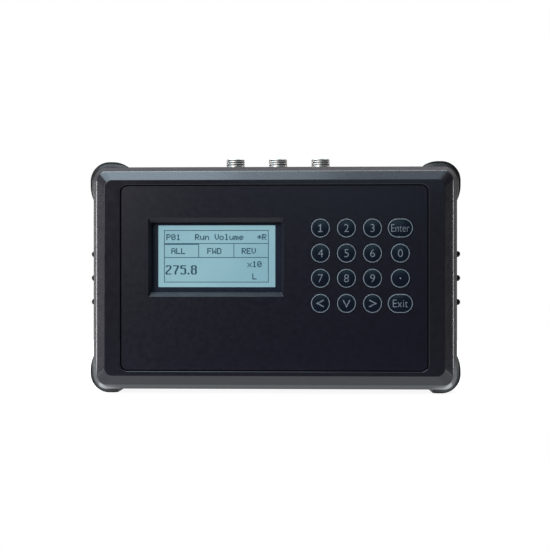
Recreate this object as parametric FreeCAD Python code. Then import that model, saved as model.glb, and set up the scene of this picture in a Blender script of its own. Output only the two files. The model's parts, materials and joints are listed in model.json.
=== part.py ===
import FreeCAD
import Part
import math
import os

# Handheld ultrasonic flow meter: a landscape case with a keypad panel, a display and three sockets on top.
# Millimetres. X runs to the reader's right, Z is up and the panel faces -Y.
# The origin is the middle of the footprint, on the surface that the lower bumpers stand on.
# A depth is measured back from the bezel's front face. A height is measured up from the case's middle.

# Case
CASE_WIDTH = 235.2
CASE_HEIGHT = 143.8
CASE_CORNER = 9.0
WALL = 3.0
PARTING_DEPTH = 15.0
PARTING_BEVEL = 0.4
BACK_ROUNDING = 8.0
SEAT_CLEARANCE = 0.1

# Bezel
CHAMFER_WIDTH = 6.2
CHAMFER_DEPTH = 7.0
CHAMFER_CORNER = 6.0
CHAMFER_ROUNDING = 2.8
FLARE = 3.4
FACE_CORNER = 5.0
FACE_ROUNDING = 0.5
FACE_BORDER_X = 10.05
FACE_BORDER_Z = 2.95
BEZEL_WALL = 4.2
BEZEL_CAVITY_CORNER = 4.0
LEDGE_WIDTH = 3.0
LEDGE_THICKNESS = 2.5

# Panel, with the sloping well that frames the display
PANEL_CORNER = 4.2
PANEL_THICKNESS = 3.0
PANEL_RECESS = 0.5
PANEL_GAP = 0.6
PANEL_EDGE_BEVEL = 0.3
PANEL_GASKET_THICKNESS = 0.5
PANEL_GASKET_SETBACK = 0.4
WINDOW_SHIFT = 0.1
WINDOW_DROP = 23.25
WINDOW_WIDTH = 83.3
WINDOW_HEIGHT = 44.6
WINDOW_CORNER = 0.8
WELL_DEPTH = 5.0
WELL_SLOPE_DEPTH = 2.6
WELL_SLOPE_X = 1.5
WELL_SLOPE_Z = 2.8
WELL_COLLAR = 2.5
LENS_THICKNESS = 1.5

# Display module
LCD_RISE = 0.75
LCD_VIEW_WIDTH = 75.2
LCD_VIEW_HEIGHT = 39.6
LCD_FRAME_WIDTH = 86.0
LCD_FRAME_HEIGHT = 54.0
LCD_FRAME_DEPTH = 5.0
LCD_FRAME_SHEET = 0.5
LCD_GLASS_THICKNESS = 2.2
LCD_CLEARANCE = 0.2
LCD_BOARD_MARGIN_X = 3.5
LCD_BOARD_MARGIN_Z = 8.0
LCD_HOLE_INSET = 2.5

# Keys
KEY_DIAMETER = 12.3
KEY_GAP = 0.3
KEY_PROUD = 0.4
KEY_DOME_RADIUS = 45.0
KEY_FLANGE = 0.8
KEY_FLANGE_THICKNESS = 1.0
KEY_FLANGE_GAP = 0.1
KEY_STEM_DIAMETER = 4.0
KEY_STRETCH = 3.9
KEYPAD_INSET_X = 17.3
KEYPAD_INSET_Z = 27.15
KEY_PITCH_X = 16.45
KEY_PITCH_Z = 15.9
WIDE_COLUMN_STEP = 17.55

# Snap domes and the keypad board
DOME_DIAMETER = 9.0
DOME_HEIGHT = 0.8
DOME_SHEET = 0.2
DOME_GAP = 0.05
KEYPAD_BOARD_GAP = 3.9
KEYPAD_BOARD_SPACING = 1.0
KEYPAD_BOARD_MARGIN_X = 12.5
KEYPAD_BOARD_MARGIN_Z = 13.0
KEYPAD_HOLE_INSET = 3.5

# Boards and their small fasteners
BOARD_THICKNESS = 1.6
BOARD_CORNER = 1.0
POST_DIAMETER = 4.6
SMALL_SCREW_DIAMETER = 2.0
SMALL_SCREW_HEAD = 3.8
SMALL_SCREW_HEAD_HEIGHT = 1.2
SMALL_SCREW_GRIP = 2.6
SCREW_CLEARANCE = 0.05
MAIN_BOARD_SIDE_GAP = 3.3
MAIN_BOARD_HEIGHT = 84.0
MAIN_BOARD_Z = -14.0
MAIN_HOLE_INSET = 5.0
MAIN_POST_DIAMETER = 7.0
STACK_HEIGHT = 4.2
STACK_HEADER_LENGTH = 26.0
STACK_HEADER_WIDTH = 5.0
STACK_HEADER_INSET = 4.0
HEADER_CORNER = 0.5
CHIP_CORNER = 0.4

# Battery
CELL_DIAMETER = 18.8
CELL_COUNT = 3
CELL_LENGTH = 68.0
BATTERY_X = -40.0
BATTERY_TOP_GAP = 1.0
BATTERY_PAD = 1.0
BATTERY_PAD_CORNER = 1.0
CLAMP_WIDTH = 22.0
CLAMP_SHEET = 1.2
CLAMP_FOOT = 10.0
CLAMP_BOSS_HEIGHT = 6.0
CLAMP_CLEARANCE = 0.2
CLAMP_BOARD_GAP = 2.7

# Case screws and inserts
CASE_SCREW_INSET_X = 14.2
CASE_SCREW_INSET_Z = 23.9
CASE_SCREW_DIAMETER = 3.0
CASE_SCREW_HOLE = 3.4
CASE_SCREW_HEAD = 5.6
CASE_SCREW_HEAD_HEIGHT = 2.4
CASE_SCREW_WELL = 6.6
CASE_SCREW_SEAT = 5.4
CASE_SCREW_SOCKET = 2.5
CASE_SCREW_SOCKET_DEPTH = 1.4
CASE_SCREW_TIP_GAP = 0.6
CASE_BOSS_DIAMETER = 9.4
INSERT_DIAMETER = 4.6
INSERT_LENGTH = 6.0

# Seal between the case halves
SEAL_WIDTH = 1.4
SEAL_THICKNESS = 1.2

# Corner bumpers
BUMPER_PROUD = 2.9
BUMPER_TOP_PROUD = 3.9
BUMPER_BACK_PROUD = 1.5
BUMPER_SINK = 1.3
BUMPER_FLAT = 2.0
BUMPER_CORNER = 12.5
BUMPER_TAPER = 11.2
BUMPER_TOP_REACH = 20.7
BUMPER_FOOT_REACH = 15.2
BUMPER_START = 1.5
BUMPER_FRONT_LIP = 0.4
BUMPER_BAND_PROUD = 2.0
BUMPER_BAND_LENGTH = 2.3
BUMPER_STEP_LENGTH = 0.4
BUMPER_BACK_ROUNDING = 6.0

# Side grips
GRIP_HEIGHT = 46.0
GRIP_LENGTH = 17.0
GRIP_CORNER = 3.0
GRIP_SINK = 1.3
GRIP_RISE = 0.6
GRIP_DEPTH = 31.0
GRIP_RIB_RADIUS = 2.0
GRIP_RIB_LIFT = 1.1
GRIP_RIB_LENGTH = 12.0
GRIP_RIB_PITCH = 15.7
GRIP_RIB_COUNT = 3

# Sockets
SOCKET_PITCH = 28.1
SOCKET_SHIFT = 1.9
SOCKET_DEPTH = 31.0
SOCKET_THREAD_DIAMETER = 12.2
SOCKET_THREAD_LENGTH = 4.9
SOCKET_THREAD_CHAMFER = 0.4
SOCKET_FLANGE_DIAMETER = 12.8
SOCKET_FLANGE_HEIGHT = 1.0
SOCKET_NECK_DIAMETER = 10.0
SOCKET_NECK_LENGTH = 8.0
SOCKET_HOLE_GAP = 0.2
SOCKET_MOUTH_DIAMETER = 9.4
SOCKET_BORE_DIAMETER = 7.6
SOCKET_SEAL_HEIGHT = 0.4
SOCKET_NUT_FLATS = 14.0
SOCKET_NUT_HEIGHT = 2.5
SOCKET_FLOOR_DEPTH = 6.2
SOCKET_INSERT_COLLAR = 1.6
SOCKET_INSERT_TAIL = 1.2
SOCKET_PIN_DIAMETER = 1.0
SOCKET_PIN_CIRCLE = 4.8
SOCKET_PIN_COUNT = 4
SOCKET_PIN_LENGTH = 4.8
SOCKET_PIN_TAIL = 2.5
SOCKET_NAMES = ("upstream", "output", "downstream")

# Leads from the sockets to the main board
LEAD_DIAMETER = 4.2
LEAD_BEND = 9.0
LEAD_HEADER_LENGTH = 12.0
LEAD_HEADER_HEIGHT = 9.0
LEAD_HEADER_DEPTH = 6.4

# Chips on the front of the main board: across, up from the board's lower edge, width, height and thickness
CHIPS = (
    (-70.0, 26.0, 14.0, 14.0, 1.6),
    (-30.0, 14.0, 20.0, 10.0, 2.4),
    (10.0, 18.0, 10.0, 10.0, 1.4),
    (60.0, 14.0, 24.0, 12.0, 3.0),
)

# Depths, from the face back to the case's back
PANEL_BACK = PANEL_RECESS + PANEL_THICKNESS
LEDGE_FRONT = PANEL_BACK + PANEL_GASKET_THICKNESS
LEDGE_BACK = LEDGE_FRONT + LEDGE_THICKNESS
WELL_STEP = PANEL_RECESS + WELL_SLOPE_DEPTH
WELL_BACK = PANEL_RECESS + WELL_DEPTH
LENS_BACK = WELL_BACK + LENS_THICKNESS
LCD_FRONT = LENS_BACK + LCD_CLEARANCE
LCD_BOARD_FRONT = LCD_FRONT + LCD_FRAME_DEPTH
LCD_BOARD_BACK = LCD_BOARD_FRONT + BOARD_THICKNESS
KEYPAD_BOARD_FRONT = PANEL_BACK + KEYPAD_BOARD_GAP
KEYPAD_BOARD_BACK = KEYPAD_BOARD_FRONT + BOARD_THICKNESS
MAIN_BOARD_FRONT = LCD_BOARD_BACK + STACK_HEIGHT
MAIN_BOARD_BACK = MAIN_BOARD_FRONT + BOARD_THICKNESS
BATTERY_FRONT = MAIN_BOARD_BACK + CLAMP_BOARD_GAP + CLAMP_SHEET + CLAMP_CLEARANCE
CAVITY_BACK = BATTERY_FRONT + CELL_DIAMETER + BATTERY_PAD
CASE_DEPTH = CAVITY_BACK + WALL
OVERALL_DEPTH = CASE_DEPTH + BUMPER_BACK_PROUD
BACK_RADIUS = min(BACK_ROUNDING, CASE_CORNER - PARTING_BEVEL)

# Widths, heights and places on the front
CASE_TOP = CASE_HEIGHT / 2
CASE_MIDDLE = CASE_TOP + BUMPER_PROUD
FACE_WIDTH = CASE_WIDTH - 2 * (CHAMFER_WIDTH + FLARE)
FACE_HEIGHT = CASE_HEIGHT - 2 * (CHAMFER_WIDTH + FLARE)
PANEL_WIDTH = FACE_WIDTH - 2 * (FACE_BORDER_X + PANEL_GAP)
PANEL_HEIGHT = FACE_HEIGHT - 2 * (FACE_BORDER_Z + PANEL_GAP)
KEY_RADIUS = KEY_DIAMETER / 2
KEYPAD_LEFT = PANEL_WIDTH / 2 - KEYPAD_INSET_X - WIDE_COLUMN_STEP - 2 * KEY_PITCH_X
KEYPAD_TOP = PANEL_HEIGHT / 2 - KEYPAD_INSET_Z
WINDOW_X = (KEYPAD_LEFT - KEY_RADIUS - PANEL_WIDTH / 2) / 2 + WINDOW_SHIFT
WINDOW_Z = PANEL_HEIGHT / 2 - WINDOW_DROP - WINDOW_HEIGHT / 2
LCD_X = WINDOW_X
LCD_Z = WINDOW_Z + LCD_RISE
LCD_BOARD_WIDTH = LCD_FRAME_WIDTH + 2 * LCD_BOARD_MARGIN_X
LCD_BOARD_HEIGHT = LCD_FRAME_HEIGHT + 2 * LCD_BOARD_MARGIN_Z
BUMPER_REACH = BUMPER_CORNER - BUMPER_PROUD + BUMPER_FLAT + BUMPER_TAPER

# Widths, heights and places inside and on top
CASE_SCREW_X = CASE_WIDTH / 2 - CASE_SCREW_INSET_X
CASE_SCREW_Z = CASE_HEIGHT / 2 - CASE_SCREW_INSET_Z
MAIN_BOARD_WIDTH = 2 * (CASE_SCREW_X - CASE_BOSS_DIAMETER / 2 - MAIN_BOARD_SIDE_GAP)
MAIN_BOARD_TOP = MAIN_BOARD_Z + MAIN_BOARD_HEIGHT / 2
MAIN_BOARD_BOTTOM = MAIN_BOARD_Z - MAIN_BOARD_HEIGHT / 2
BATTERY_Z = MAIN_BOARD_TOP - LEAD_HEADER_HEIGHT - BATTERY_TOP_GAP - CELL_LENGTH / 2
SOCKET_FLANGE_TOP = CASE_TOP + SOCKET_SEAL_HEIGHT + SOCKET_FLANGE_HEIGHT
SOCKET_RIM = SOCKET_FLANGE_TOP + SOCKET_THREAD_LENGTH
SOCKET_FLOOR = SOCKET_RIM - SOCKET_FLOOR_DEPTH
SOCKET_NECK_END = SOCKET_FLANGE_TOP - SOCKET_FLANGE_HEIGHT - SOCKET_NECK_LENGTH
SOCKET_INSERT_END = SOCKET_NECK_END - SOCKET_INSERT_TAIL

# Each key's name, by row from the top and by column from the left
KEY_ROWS = (
    ("one", "two", "three", "enter"),
    ("four", "five", "six", "zero"),
    ("seven", "eight", "nine", "point"),
    ("left", "down", "right", "exit"),
)
WIDE_KEYS = ("enter", "exit")
CORNERS = {
    "top_left": (-1, 1),
    "top_right": (1, 1),
    "bottom_left": (-1, -1),
    "bottom_right": (1, -1),
}


# Places


def place(x, depth, height):
    """A point from its distance across, its depth behind the face and its height above the case's middle."""
    return FreeCAD.Vector(x, depth - OVERALL_DEPTH / 2, CASE_MIDDLE + height)


def key_place(row, column):
    """How far across and up a key stands."""
    across = KEYPAD_LEFT + column * KEY_PITCH_X
    if column == 3:
        across += WIDE_COLUMN_STEP - KEY_PITCH_X
    return across, KEYPAD_TOP - row * KEY_PITCH_Z


def key_places():
    """Each key's name with how far across and up it stands."""
    places = {}
    for row, names in enumerate(KEY_ROWS):
        for column, name in enumerate(names):
            places[name] = key_place(row, column)
    return places


def rectangle_corners(x, height, across, up):
    """The corners of a rectangle about a middle, as hole patterns use them."""
    return [(x + sx * across / 2, height + sz * up / 2) for sx in (-1, 1) for sz in (-1, 1)]


def case_screw_places():
    return [(sx * CASE_SCREW_X, sz * CASE_SCREW_Z) for sx in (-1, 1) for sz in (-1, 0, 1)]


def board_corners(x, height, across, up, inset):
    """A board's hole places, set in from its corners."""
    return rectangle_corners(x, height, across - 2 * inset, up - 2 * inset)


def lcd_hole_places():
    return board_corners(LCD_X, LCD_Z, LCD_BOARD_WIDTH, LCD_BOARD_HEIGHT, LCD_HOLE_INSET)


def main_hole_places():
    return board_corners(0, MAIN_BOARD_Z, MAIN_BOARD_WIDTH, MAIN_BOARD_HEIGHT, MAIN_HOLE_INSET)


def keypad_board_box():
    """The keypad board's middle and size: it starts beside the display's board and ends past the keys."""
    left = LCD_X + LCD_BOARD_WIDTH / 2 + KEYPAD_BOARD_SPACING
    right, bottom = key_place(len(KEY_ROWS) - 1, len(KEY_ROWS[0]) - 1)
    right += KEYPAD_BOARD_MARGIN_X
    bottom -= KEYPAD_BOARD_MARGIN_Z
    top = KEYPAD_TOP + KEYPAD_BOARD_MARGIN_Z
    return (left + right) / 2, (bottom + top) / 2, right - left, top - bottom


def keypad_hole_places():
    return board_corners(*keypad_board_box(), KEYPAD_HOLE_INSET)


def clamp_hole_places():
    reach = CELL_COUNT * CELL_DIAMETER / 2 + CLAMP_CLEARANCE + CLAMP_SHEET + CLAMP_FOOT / 2
    return [(BATTERY_X - reach, BATTERY_Z), (BATTERY_X + reach, BATTERY_Z)]


def socket_places():
    middle = (len(SOCKET_NAMES) - 1) / 2
    return {
        name: SOCKET_SHIFT + (index - middle) * SOCKET_PITCH for index, name in enumerate(SOCKET_NAMES)
    }


# Shapes


def rectangle_wire(width, height, corner, depth, x=0.0, middle=0.0):
    """A rectangle with round corners, upright and facing the reader."""
    a = width / 2
    b = height / 2
    inner_a = a - corner
    inner_b = b - corner
    bend = corner * math.sqrt(0.5)
    edges = []
    turns = ((1, 1), (-1, 1), (-1, -1), (1, -1))
    for index, (sx, sz) in enumerate(turns):
        side = (x + sx * a, middle + sz * inner_b)
        end = (x + sx * inner_a, middle + sz * b)
        first, last = (side, end) if sx == sz else (end, side)
        bulge = (x + sx * (inner_a + bend), middle + sz * (inner_b + bend))
        points = [place(p[0], depth, p[1]) for p in (first, bulge, last)]
        edges.append(Part.Arc(*points).toShape())
        next_sx, next_sz = turns[(index + 1) % 4]
        next_side = (x + next_sx * a, middle + next_sz * inner_b)
        next_end = (x + next_sx * inner_a, middle + next_sz * b)
        start = next_side if next_sx == next_sz else next_end
        edges.append(Part.LineSegment(points[2], place(start[0], depth, start[1])).toShape())
    return Part.Wire(edges)


def plate(width, height, corner, front, back, x=0.0, middle=0.0):
    """A flat plate with round corners between two depths."""
    face = Part.Face(rectangle_wire(width, height, corner, front, x, middle))
    return face.extrude(FreeCAD.Vector(0, back - front, 0))


def ruled_block(wires):
    """A solid with straight flanks through upright outlines."""
    return Part.makeLoft(wires, True, True)


def rod(x, height, diameter, front, back):
    """A round bar that runs front to back."""
    return Part.makeCylinder(diameter / 2, back - front, place(x, front, height), FreeCAD.Vector(0, 1, 0))


def slot_plate(x, height, radius, stretch, front, back):
    """A plate with half-round ends, or a disc where it isn't stretched."""
    if not stretch:
        return rod(x, height, 2 * radius, front, back)
    half = stretch / 2
    outline = (
        (x - half, height + radius),
        (x + half, height + radius),
        (x + half + radius, height),
        (x + half, height - radius),
        (x - half, height - radius),
        (x - half - radius, height),
    )
    p = [place(across, front, up) for across, up in outline]
    edges = [
        Part.LineSegment(p[0], p[1]).toShape(),
        Part.Arc(p[1], p[2], p[3]).toShape(),
        Part.LineSegment(p[3], p[4]).toShape(),
        Part.Arc(p[4], p[5], p[0]).toShape(),
    ]
    return Part.Face(Part.Wire(edges)).extrude(FreeCAD.Vector(0, back - front, 0))


def turned(x, profile):
    """A solid of revolution about an upright axis at a socket, from radius and height pairs."""
    points = [place(x + radius, SOCKET_DEPTH, height) for radius, height in profile]
    face = Part.Face(Part.makePolygon(points + points[:1]))
    return face.revolve(place(x, SOCKET_DEPTH, 0), FreeCAD.Vector(0, 0, 1), 360)


def joined(shapes):
    """One solid from pieces that meet."""
    first = shapes[0]
    return first.fuse(shapes[1:]).removeSplitter()


def edges_at(shape, depth, wanted):
    """The edges that lie at a depth and whose middle passes a test of distance across and height."""
    found = []
    level = place(0, depth, 0).y
    for edge in shape.Edges:
        if all(abs(vertex.Y - level) < 1e-6 for vertex in edge.Vertexes):
            middle = edge.CenterOfMass
            if abs(middle.y - level) < 1e-3 and wanted(middle.x, middle.z - CASE_MIDDLE):
                found.append(edge)
    return found


def anywhere(x, height):
    return True


# Case halves


def bezel_blank():
    """The bezel's outside: a flat face, a wide chamfer and flaring sides down to the parting line."""
    chamfer_width = FACE_WIDTH + 2 * CHAMFER_WIDTH
    chamfer_height = FACE_HEIGHT + 2 * CHAMFER_WIDTH
    blank = ruled_block([
        rectangle_wire(FACE_WIDTH, FACE_HEIGHT, FACE_CORNER, 0),
        rectangle_wire(chamfer_width, chamfer_height, CHAMFER_CORNER, CHAMFER_DEPTH),
        rectangle_wire(CASE_WIDTH, CASE_HEIGHT, CASE_CORNER, PARTING_DEPTH - PARTING_BEVEL),
        rectangle_wire(
            CASE_WIDTH - 2 * PARTING_BEVEL,
            CASE_HEIGHT - 2 * PARTING_BEVEL,
            CASE_CORNER - PARTING_BEVEL,
            PARTING_DEPTH,
        ),
    ])
    blank = blank.makeFillet(CHAMFER_ROUNDING, edges_at(blank, CHAMFER_DEPTH, anywhere))
    return blank.makeFillet(FACE_ROUNDING, edges_at(blank, 0, anywhere))


def front_bezel():
    """The front half of the case, with the ledge that the panel lies on and six bosses for inserts."""
    opening_width = PANEL_WIDTH + 2 * PANEL_GAP
    opening_height = PANEL_HEIGHT + 2 * PANEL_GAP
    opening_corner = PANEL_CORNER + PANEL_GAP
    bevel = PANEL_EDGE_BEVEL
    opening = plate(opening_width, opening_height, opening_corner, 0, LEDGE_FRONT)
    lead_in = ruled_block([
        rectangle_wire(opening_width + 2 * bevel, opening_height + 2 * bevel, opening_corner + bevel, 0),
        rectangle_wire(opening_width, opening_height, opening_corner, bevel),
    ])
    through = plate(
        opening_width - 2 * LEDGE_WIDTH,
        opening_height - 2 * LEDGE_WIDTH,
        PANEL_CORNER,
        LEDGE_FRONT,
        LEDGE_BACK,
    )
    cavity = ruled_block([
        rectangle_wire(
            FACE_WIDTH + 2 * (CHAMFER_WIDTH - BEZEL_WALL),
            FACE_HEIGHT + 2 * (CHAMFER_WIDTH - BEZEL_WALL),
            BEZEL_CAVITY_CORNER,
            LEDGE_BACK,
        ),
        rectangle_wire(
            CASE_WIDTH - 2 * WALL, CASE_HEIGHT - 2 * WALL, CASE_CORNER - WALL, PARTING_DEPTH
        ),
    ])
    shell = bezel_blank().cut([opening, lead_in, through, cavity])
    bosses = [rod(x, z, CASE_BOSS_DIAMETER, LEDGE_BACK, PARTING_DEPTH) for x, z in case_screw_places()]
    shell = joined([shell] + bosses)
    hole_front = PARTING_DEPTH - INSERT_LENGTH - CASE_SCREW_TIP_GAP
    holes = [rod(x, z, INSERT_DIAMETER, hole_front, PARTING_DEPTH) for x, z in case_screw_places()]
    return shell.cut(holes)


def housing_form(inset):
    """The rear housing's outside, drawn in by an inset, with its back edge rounded."""
    form = plate(
        CASE_WIDTH - 2 * inset,
        CASE_HEIGHT - 2 * inset,
        CASE_CORNER - inset,
        PARTING_DEPTH,
        CASE_DEPTH - inset,
    )
    return form.makeFillet(BACK_RADIUS - inset, edges_at(form, CASE_DEPTH - inset, anywhere))


def parting_bevel():
    """The sliver taken off the rear housing's front edge."""
    outside = plate(CASE_WIDTH, CASE_HEIGHT, CASE_CORNER, PARTING_DEPTH, PARTING_DEPTH + PARTING_BEVEL)
    inside = ruled_block([
        rectangle_wire(
            CASE_WIDTH - 2 * PARTING_BEVEL,
            CASE_HEIGHT - 2 * PARTING_BEVEL,
            CASE_CORNER - PARTING_BEVEL,
            PARTING_DEPTH,
        ),
        rectangle_wire(CASE_WIDTH, CASE_HEIGHT, CASE_CORNER, PARTING_DEPTH + PARTING_BEVEL),
    ])
    return outside.cut(inside)


def rear_housing():
    """The rear half of the case: pockets for bumpers and grips, posts, screw wells and socket holes."""
    cavity = plate(
        CASE_WIDTH - 2 * WALL, CASE_HEIGHT - 2 * WALL, CASE_CORNER - WALL, PARTING_DEPTH, CAVITY_BACK
    )
    rebate = plate(
        CASE_WIDTH - 2 * (WALL - SEAL_WIDTH),
        CASE_HEIGHT - 2 * (WALL - SEAL_WIDTH),
        CASE_CORNER - WALL + SEAL_WIDTH,
        PARTING_DEPTH,
        PARTING_DEPTH + SEAL_THICKNESS,
    )
    core = housing_form(BUMPER_SINK)
    pockets = [
        bumper_block(sx, sz, SEAT_CLEARANCE).cut(core) for sx, sz in CORNERS.values()
    ]
    pockets += [grip_pad(side, SEAT_CLEARANCE) for side in (-1, 1)]
    shell = housing_form(0).cut([cavity, rebate, parting_bevel()] + pockets)
    posts = [rod(x, z, CASE_BOSS_DIAMETER, PARTING_DEPTH, CAVITY_BACK) for x, z in case_screw_places()]
    posts += [rod(x, z, MAIN_POST_DIAMETER, MAIN_BOARD_BACK, CAVITY_BACK) for x, z in main_hole_places()]
    clamp_seat = CAVITY_BACK - CLAMP_BOSS_HEIGHT
    posts += [rod(x, z, MAIN_POST_DIAMETER, clamp_seat, CAVITY_BACK) for x, z in clamp_hole_places()]
    shell = joined([shell] + posts)
    pilot = SMALL_SCREW_DIAMETER + 2 * SCREW_CLEARANCE
    grip_depth = SMALL_SCREW_GRIP + SCREW_CLEARANCE
    holes = [rod(x, z, pilot, MAIN_BOARD_BACK, MAIN_BOARD_BACK + grip_depth) for x, z in main_hole_places()]
    holes += [rod(x, z, pilot, clamp_seat, clamp_seat + grip_depth) for x, z in clamp_hole_places()]
    for x, z in case_screw_places():
        holes.append(rod(x, z, CASE_SCREW_HOLE, PARTING_DEPTH, CASE_DEPTH))
        holes.append(rod(x, z, CASE_SCREW_WELL, CASE_DEPTH - CASE_SCREW_SEAT, CASE_DEPTH))
    for x in socket_places().values():
        radius = SOCKET_NECK_DIAMETER / 2 + SOCKET_HOLE_GAP
        start = place(x, SOCKET_DEPTH, CASE_TOP - WALL)
        holes.append(Part.makeCylinder(radius, WALL, start, FreeCAD.Vector(0, 0, 1)))
    return shell.cut(holes)


def housing_seal():
    """A flat ring in the rear housing's rebate, pressed by the bezel's rim."""
    reach = WALL - SEAL_WIDTH + SEAT_CLEARANCE
    outer = plate(
        CASE_WIDTH - 2 * reach,
        CASE_HEIGHT - 2 * reach,
        CASE_CORNER - reach,
        PARTING_DEPTH,
        PARTING_DEPTH + SEAL_THICKNESS,
    )
    inner = plate(
        CASE_WIDTH - 2 * WALL,
        CASE_HEIGHT - 2 * WALL,
        CASE_CORNER - WALL,
        PARTING_DEPTH,
        PARTING_DEPTH + SEAL_THICKNESS,
    )
    return outer.cut(inner)


def threaded_inserts():
    """Brass inserts pressed into the bezel's bosses."""
    inserts = []
    for x, z in case_screw_places():
        front = PARTING_DEPTH - INSERT_LENGTH
        blank = rod(x, z, INSERT_DIAMETER, front, PARTING_DEPTH)
        bore = rod(x, z, CASE_SCREW_DIAMETER + 2 * SCREW_CLEARANCE, front, PARTING_DEPTH)
        inserts.append(blank.cut(bore))
    return Part.makeCompound(inserts)


def case_screws():
    """Socket-head screws in the wells at the back, holding the case halves together."""
    seat = CASE_DEPTH - CASE_SCREW_SEAT
    screws = []
    for x, z in case_screw_places():
        shank = rod(x, z, CASE_SCREW_DIAMETER, PARTING_DEPTH - INSERT_LENGTH, seat)
        head = rod(x, z, CASE_SCREW_HEAD, seat, seat + CASE_SCREW_HEAD_HEIGHT)
        top = seat + CASE_SCREW_HEAD_HEIGHT
        recess = hexagon(x, z, CASE_SCREW_SOCKET, top - CASE_SCREW_SOCKET_DEPTH, top)
        screws.append(joined([shank, head]).cut(recess))
    return Part.makeCompound(screws)


def hexagon(x, height, flats, front, back):
    """A six-sided bar that runs front to back."""
    radius = flats / math.sqrt(3)
    points = []
    for index in range(7):
        angle = math.radians(60 * index)
        points.append(place(x + radius * math.cos(angle), front, height + radius * math.sin(angle)))
    return Part.Face(Part.makePolygon(points)).extrude(FreeCAD.Vector(0, back - front, 0))


# Bumpers and grips


def leg_curve(proud):
    """How far the middle of a leg's tapering curve lies behind the curve's top, and below it."""
    radius = (BUMPER_TAPER ** 2 + proud ** 2) / (2 * proud)
    half_turn = math.asin(BUMPER_TAPER / radius) / 2
    return radius * math.sin(half_turn), radius * (1 - math.cos(half_turn))


def bumper_wire(sx, sz, depth, proud, clearance):
    """A corner's outline: a round corner, then a flat foot and a taper into the case on both sides."""
    a = CASE_WIDTH / 2
    b = CASE_HEIGHT / 2
    tall = proud * BUMPER_TOP_PROUD / BUMPER_PROUD if sz > 0 else proud
    reach = BUMPER_REACH + clearance
    foot = BUMPER_TAPER - reach
    corner = BUMPER_CORNER - BUMPER_PROUD + proud
    middle = corner * (1 - math.sqrt(0.5))
    back, drop = leg_curve(tall)
    side_back, side_drop = leg_curve(proud)
    outline = (
        (a - reach, b),
        (a + foot - back, b + tall - drop),
        (a + foot, b + tall),
        (a + proud - corner, b + tall),
        (a + proud - middle, b + tall - middle),
        (a + proud, b + tall - corner),
        (a + proud, b + foot),
        (a + proud - side_drop, b + foot - side_back),
        (a, b - reach),
    )
    p = [place(sx * x, depth, sz * z) for x, z in outline]
    edges = [
        Part.Arc(p[0], p[1], p[2]).toShape(),
        Part.LineSegment(p[2], p[3]).toShape(),
        Part.Arc(p[3], p[4], p[5]).toShape(),
        Part.LineSegment(p[5], p[6]).toShape(),
        Part.Arc(p[6], p[7], p[8]).toShape(),
        Part.LineSegment(p[8], p[0]).toShape(),
    ]
    return Part.Wire(edges)


def bumper_block(sx, sz, clearance):
    """A corner block, still filled: a sloping band, a step, a round back and one leg with a blunt end."""
    front = PARTING_DEPTH + BUMPER_START - clearance
    band_end = PARTING_DEPTH + BUMPER_START + BUMPER_BAND_LENGTH
    step_end = band_end + BUMPER_STEP_LENGTH
    block = ruled_block([
        bumper_wire(sx, sz, front, BUMPER_FRONT_LIP, clearance),
        bumper_wire(sx, sz, band_end, BUMPER_BAND_PROUD, clearance),
        bumper_wire(sx, sz, step_end, BUMPER_PROUD, clearance),
        bumper_wire(sx, sz, OVERALL_DEPTH, BUMPER_PROUD, clearance),
    ])
    inner_side = (CASE_WIDTH + CASE_HEIGHT) / 2 - BUMPER_REACH
    outer = edges_at(block, OVERALL_DEPTH, lambda x, z: abs(x) + abs(z) > inner_side + 1)
    block = block.makeFillet(BUMPER_BACK_ROUNDING, outer)
    reach = BUMPER_TOP_REACH if sz > 0 else BUMPER_FOOT_REACH
    width = CASE_WIDTH - 2 * (reach + clearance)
    height = CASE_HEIGHT / 2 + BUMPER_TOP_PROUD
    between = Part.makeBox(width, OVERALL_DEPTH, height, place(-width / 2, 0, 0 if sz > 0 else -height))
    return block.cut(between)


def bumper(sx, sz):
    """A rubber corner, hollowed to sit in its pocket on the rear housing."""
    return bumper_block(sx, sz, 0).cut(housing_form(BUMPER_SINK - SEAT_CLEARANCE))


def grip_pad(side, clearance):
    """A grip's flat pad, let into the case's side, or its pocket where a clearance is given."""
    middle = place(side * CASE_WIDTH / 2, GRIP_DEPTH, 0)
    length = GRIP_LENGTH + 2 * clearance
    height = GRIP_HEIGHT + 2 * clearance
    pad = Part.makeBox(GRIP_SINK + GRIP_RISE, length, height)
    pad.translate(FreeCAD.Vector(
        middle.x - (GRIP_SINK if side > 0 else GRIP_RISE), middle.y - length / 2, middle.z - height / 2
    ))
    corners = [edge for edge in pad.Edges if abs(edge.tangentAt(edge.FirstParameter).x) > 0.9]
    return pad.makeFillet(GRIP_CORNER + clearance, corners)


def side_grip(side):
    """A rubber pad with tall round ribs that stand out of the case's side."""
    pad = grip_pad(side, 0)
    surface = side * (CASE_WIDTH / 2 + GRIP_RISE)
    axis = surface + side * GRIP_RIB_LIFT
    tall = GRIP_RIB_LIFT + 2 * GRIP_RIB_RADIUS
    straight = GRIP_RIB_LENGTH - 2 * GRIP_RIB_RADIUS
    ribs = []
    for index in range(GRIP_RIB_COUNT):
        height = (index - (GRIP_RIB_COUNT - 1) / 2) * GRIP_RIB_PITCH
        start = place(axis, GRIP_DEPTH - straight / 2, height)
        end = place(axis, GRIP_DEPTH + straight / 2, height)
        bar = Part.makeCylinder(GRIP_RIB_RADIUS, straight, start, FreeCAD.Vector(0, 1, 0))
        ends = [Part.makeSphere(GRIP_RIB_RADIUS, point) for point in (start, end)]
        capsule = bar.fuse(ends)
        outside = Part.makeBox(tall, 2 * GRIP_RIB_LENGTH, 4 * GRIP_RIB_RADIUS)
        outside.translate(FreeCAD.Vector(
            surface - (0 if side > 0 else tall),
            (start.y + end.y) / 2 - GRIP_RIB_LENGTH,
            start.z - 2 * GRIP_RIB_RADIUS,
        ))
        ribs.append(capsule.common(outside))
    return joined([pad] + ribs)


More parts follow.
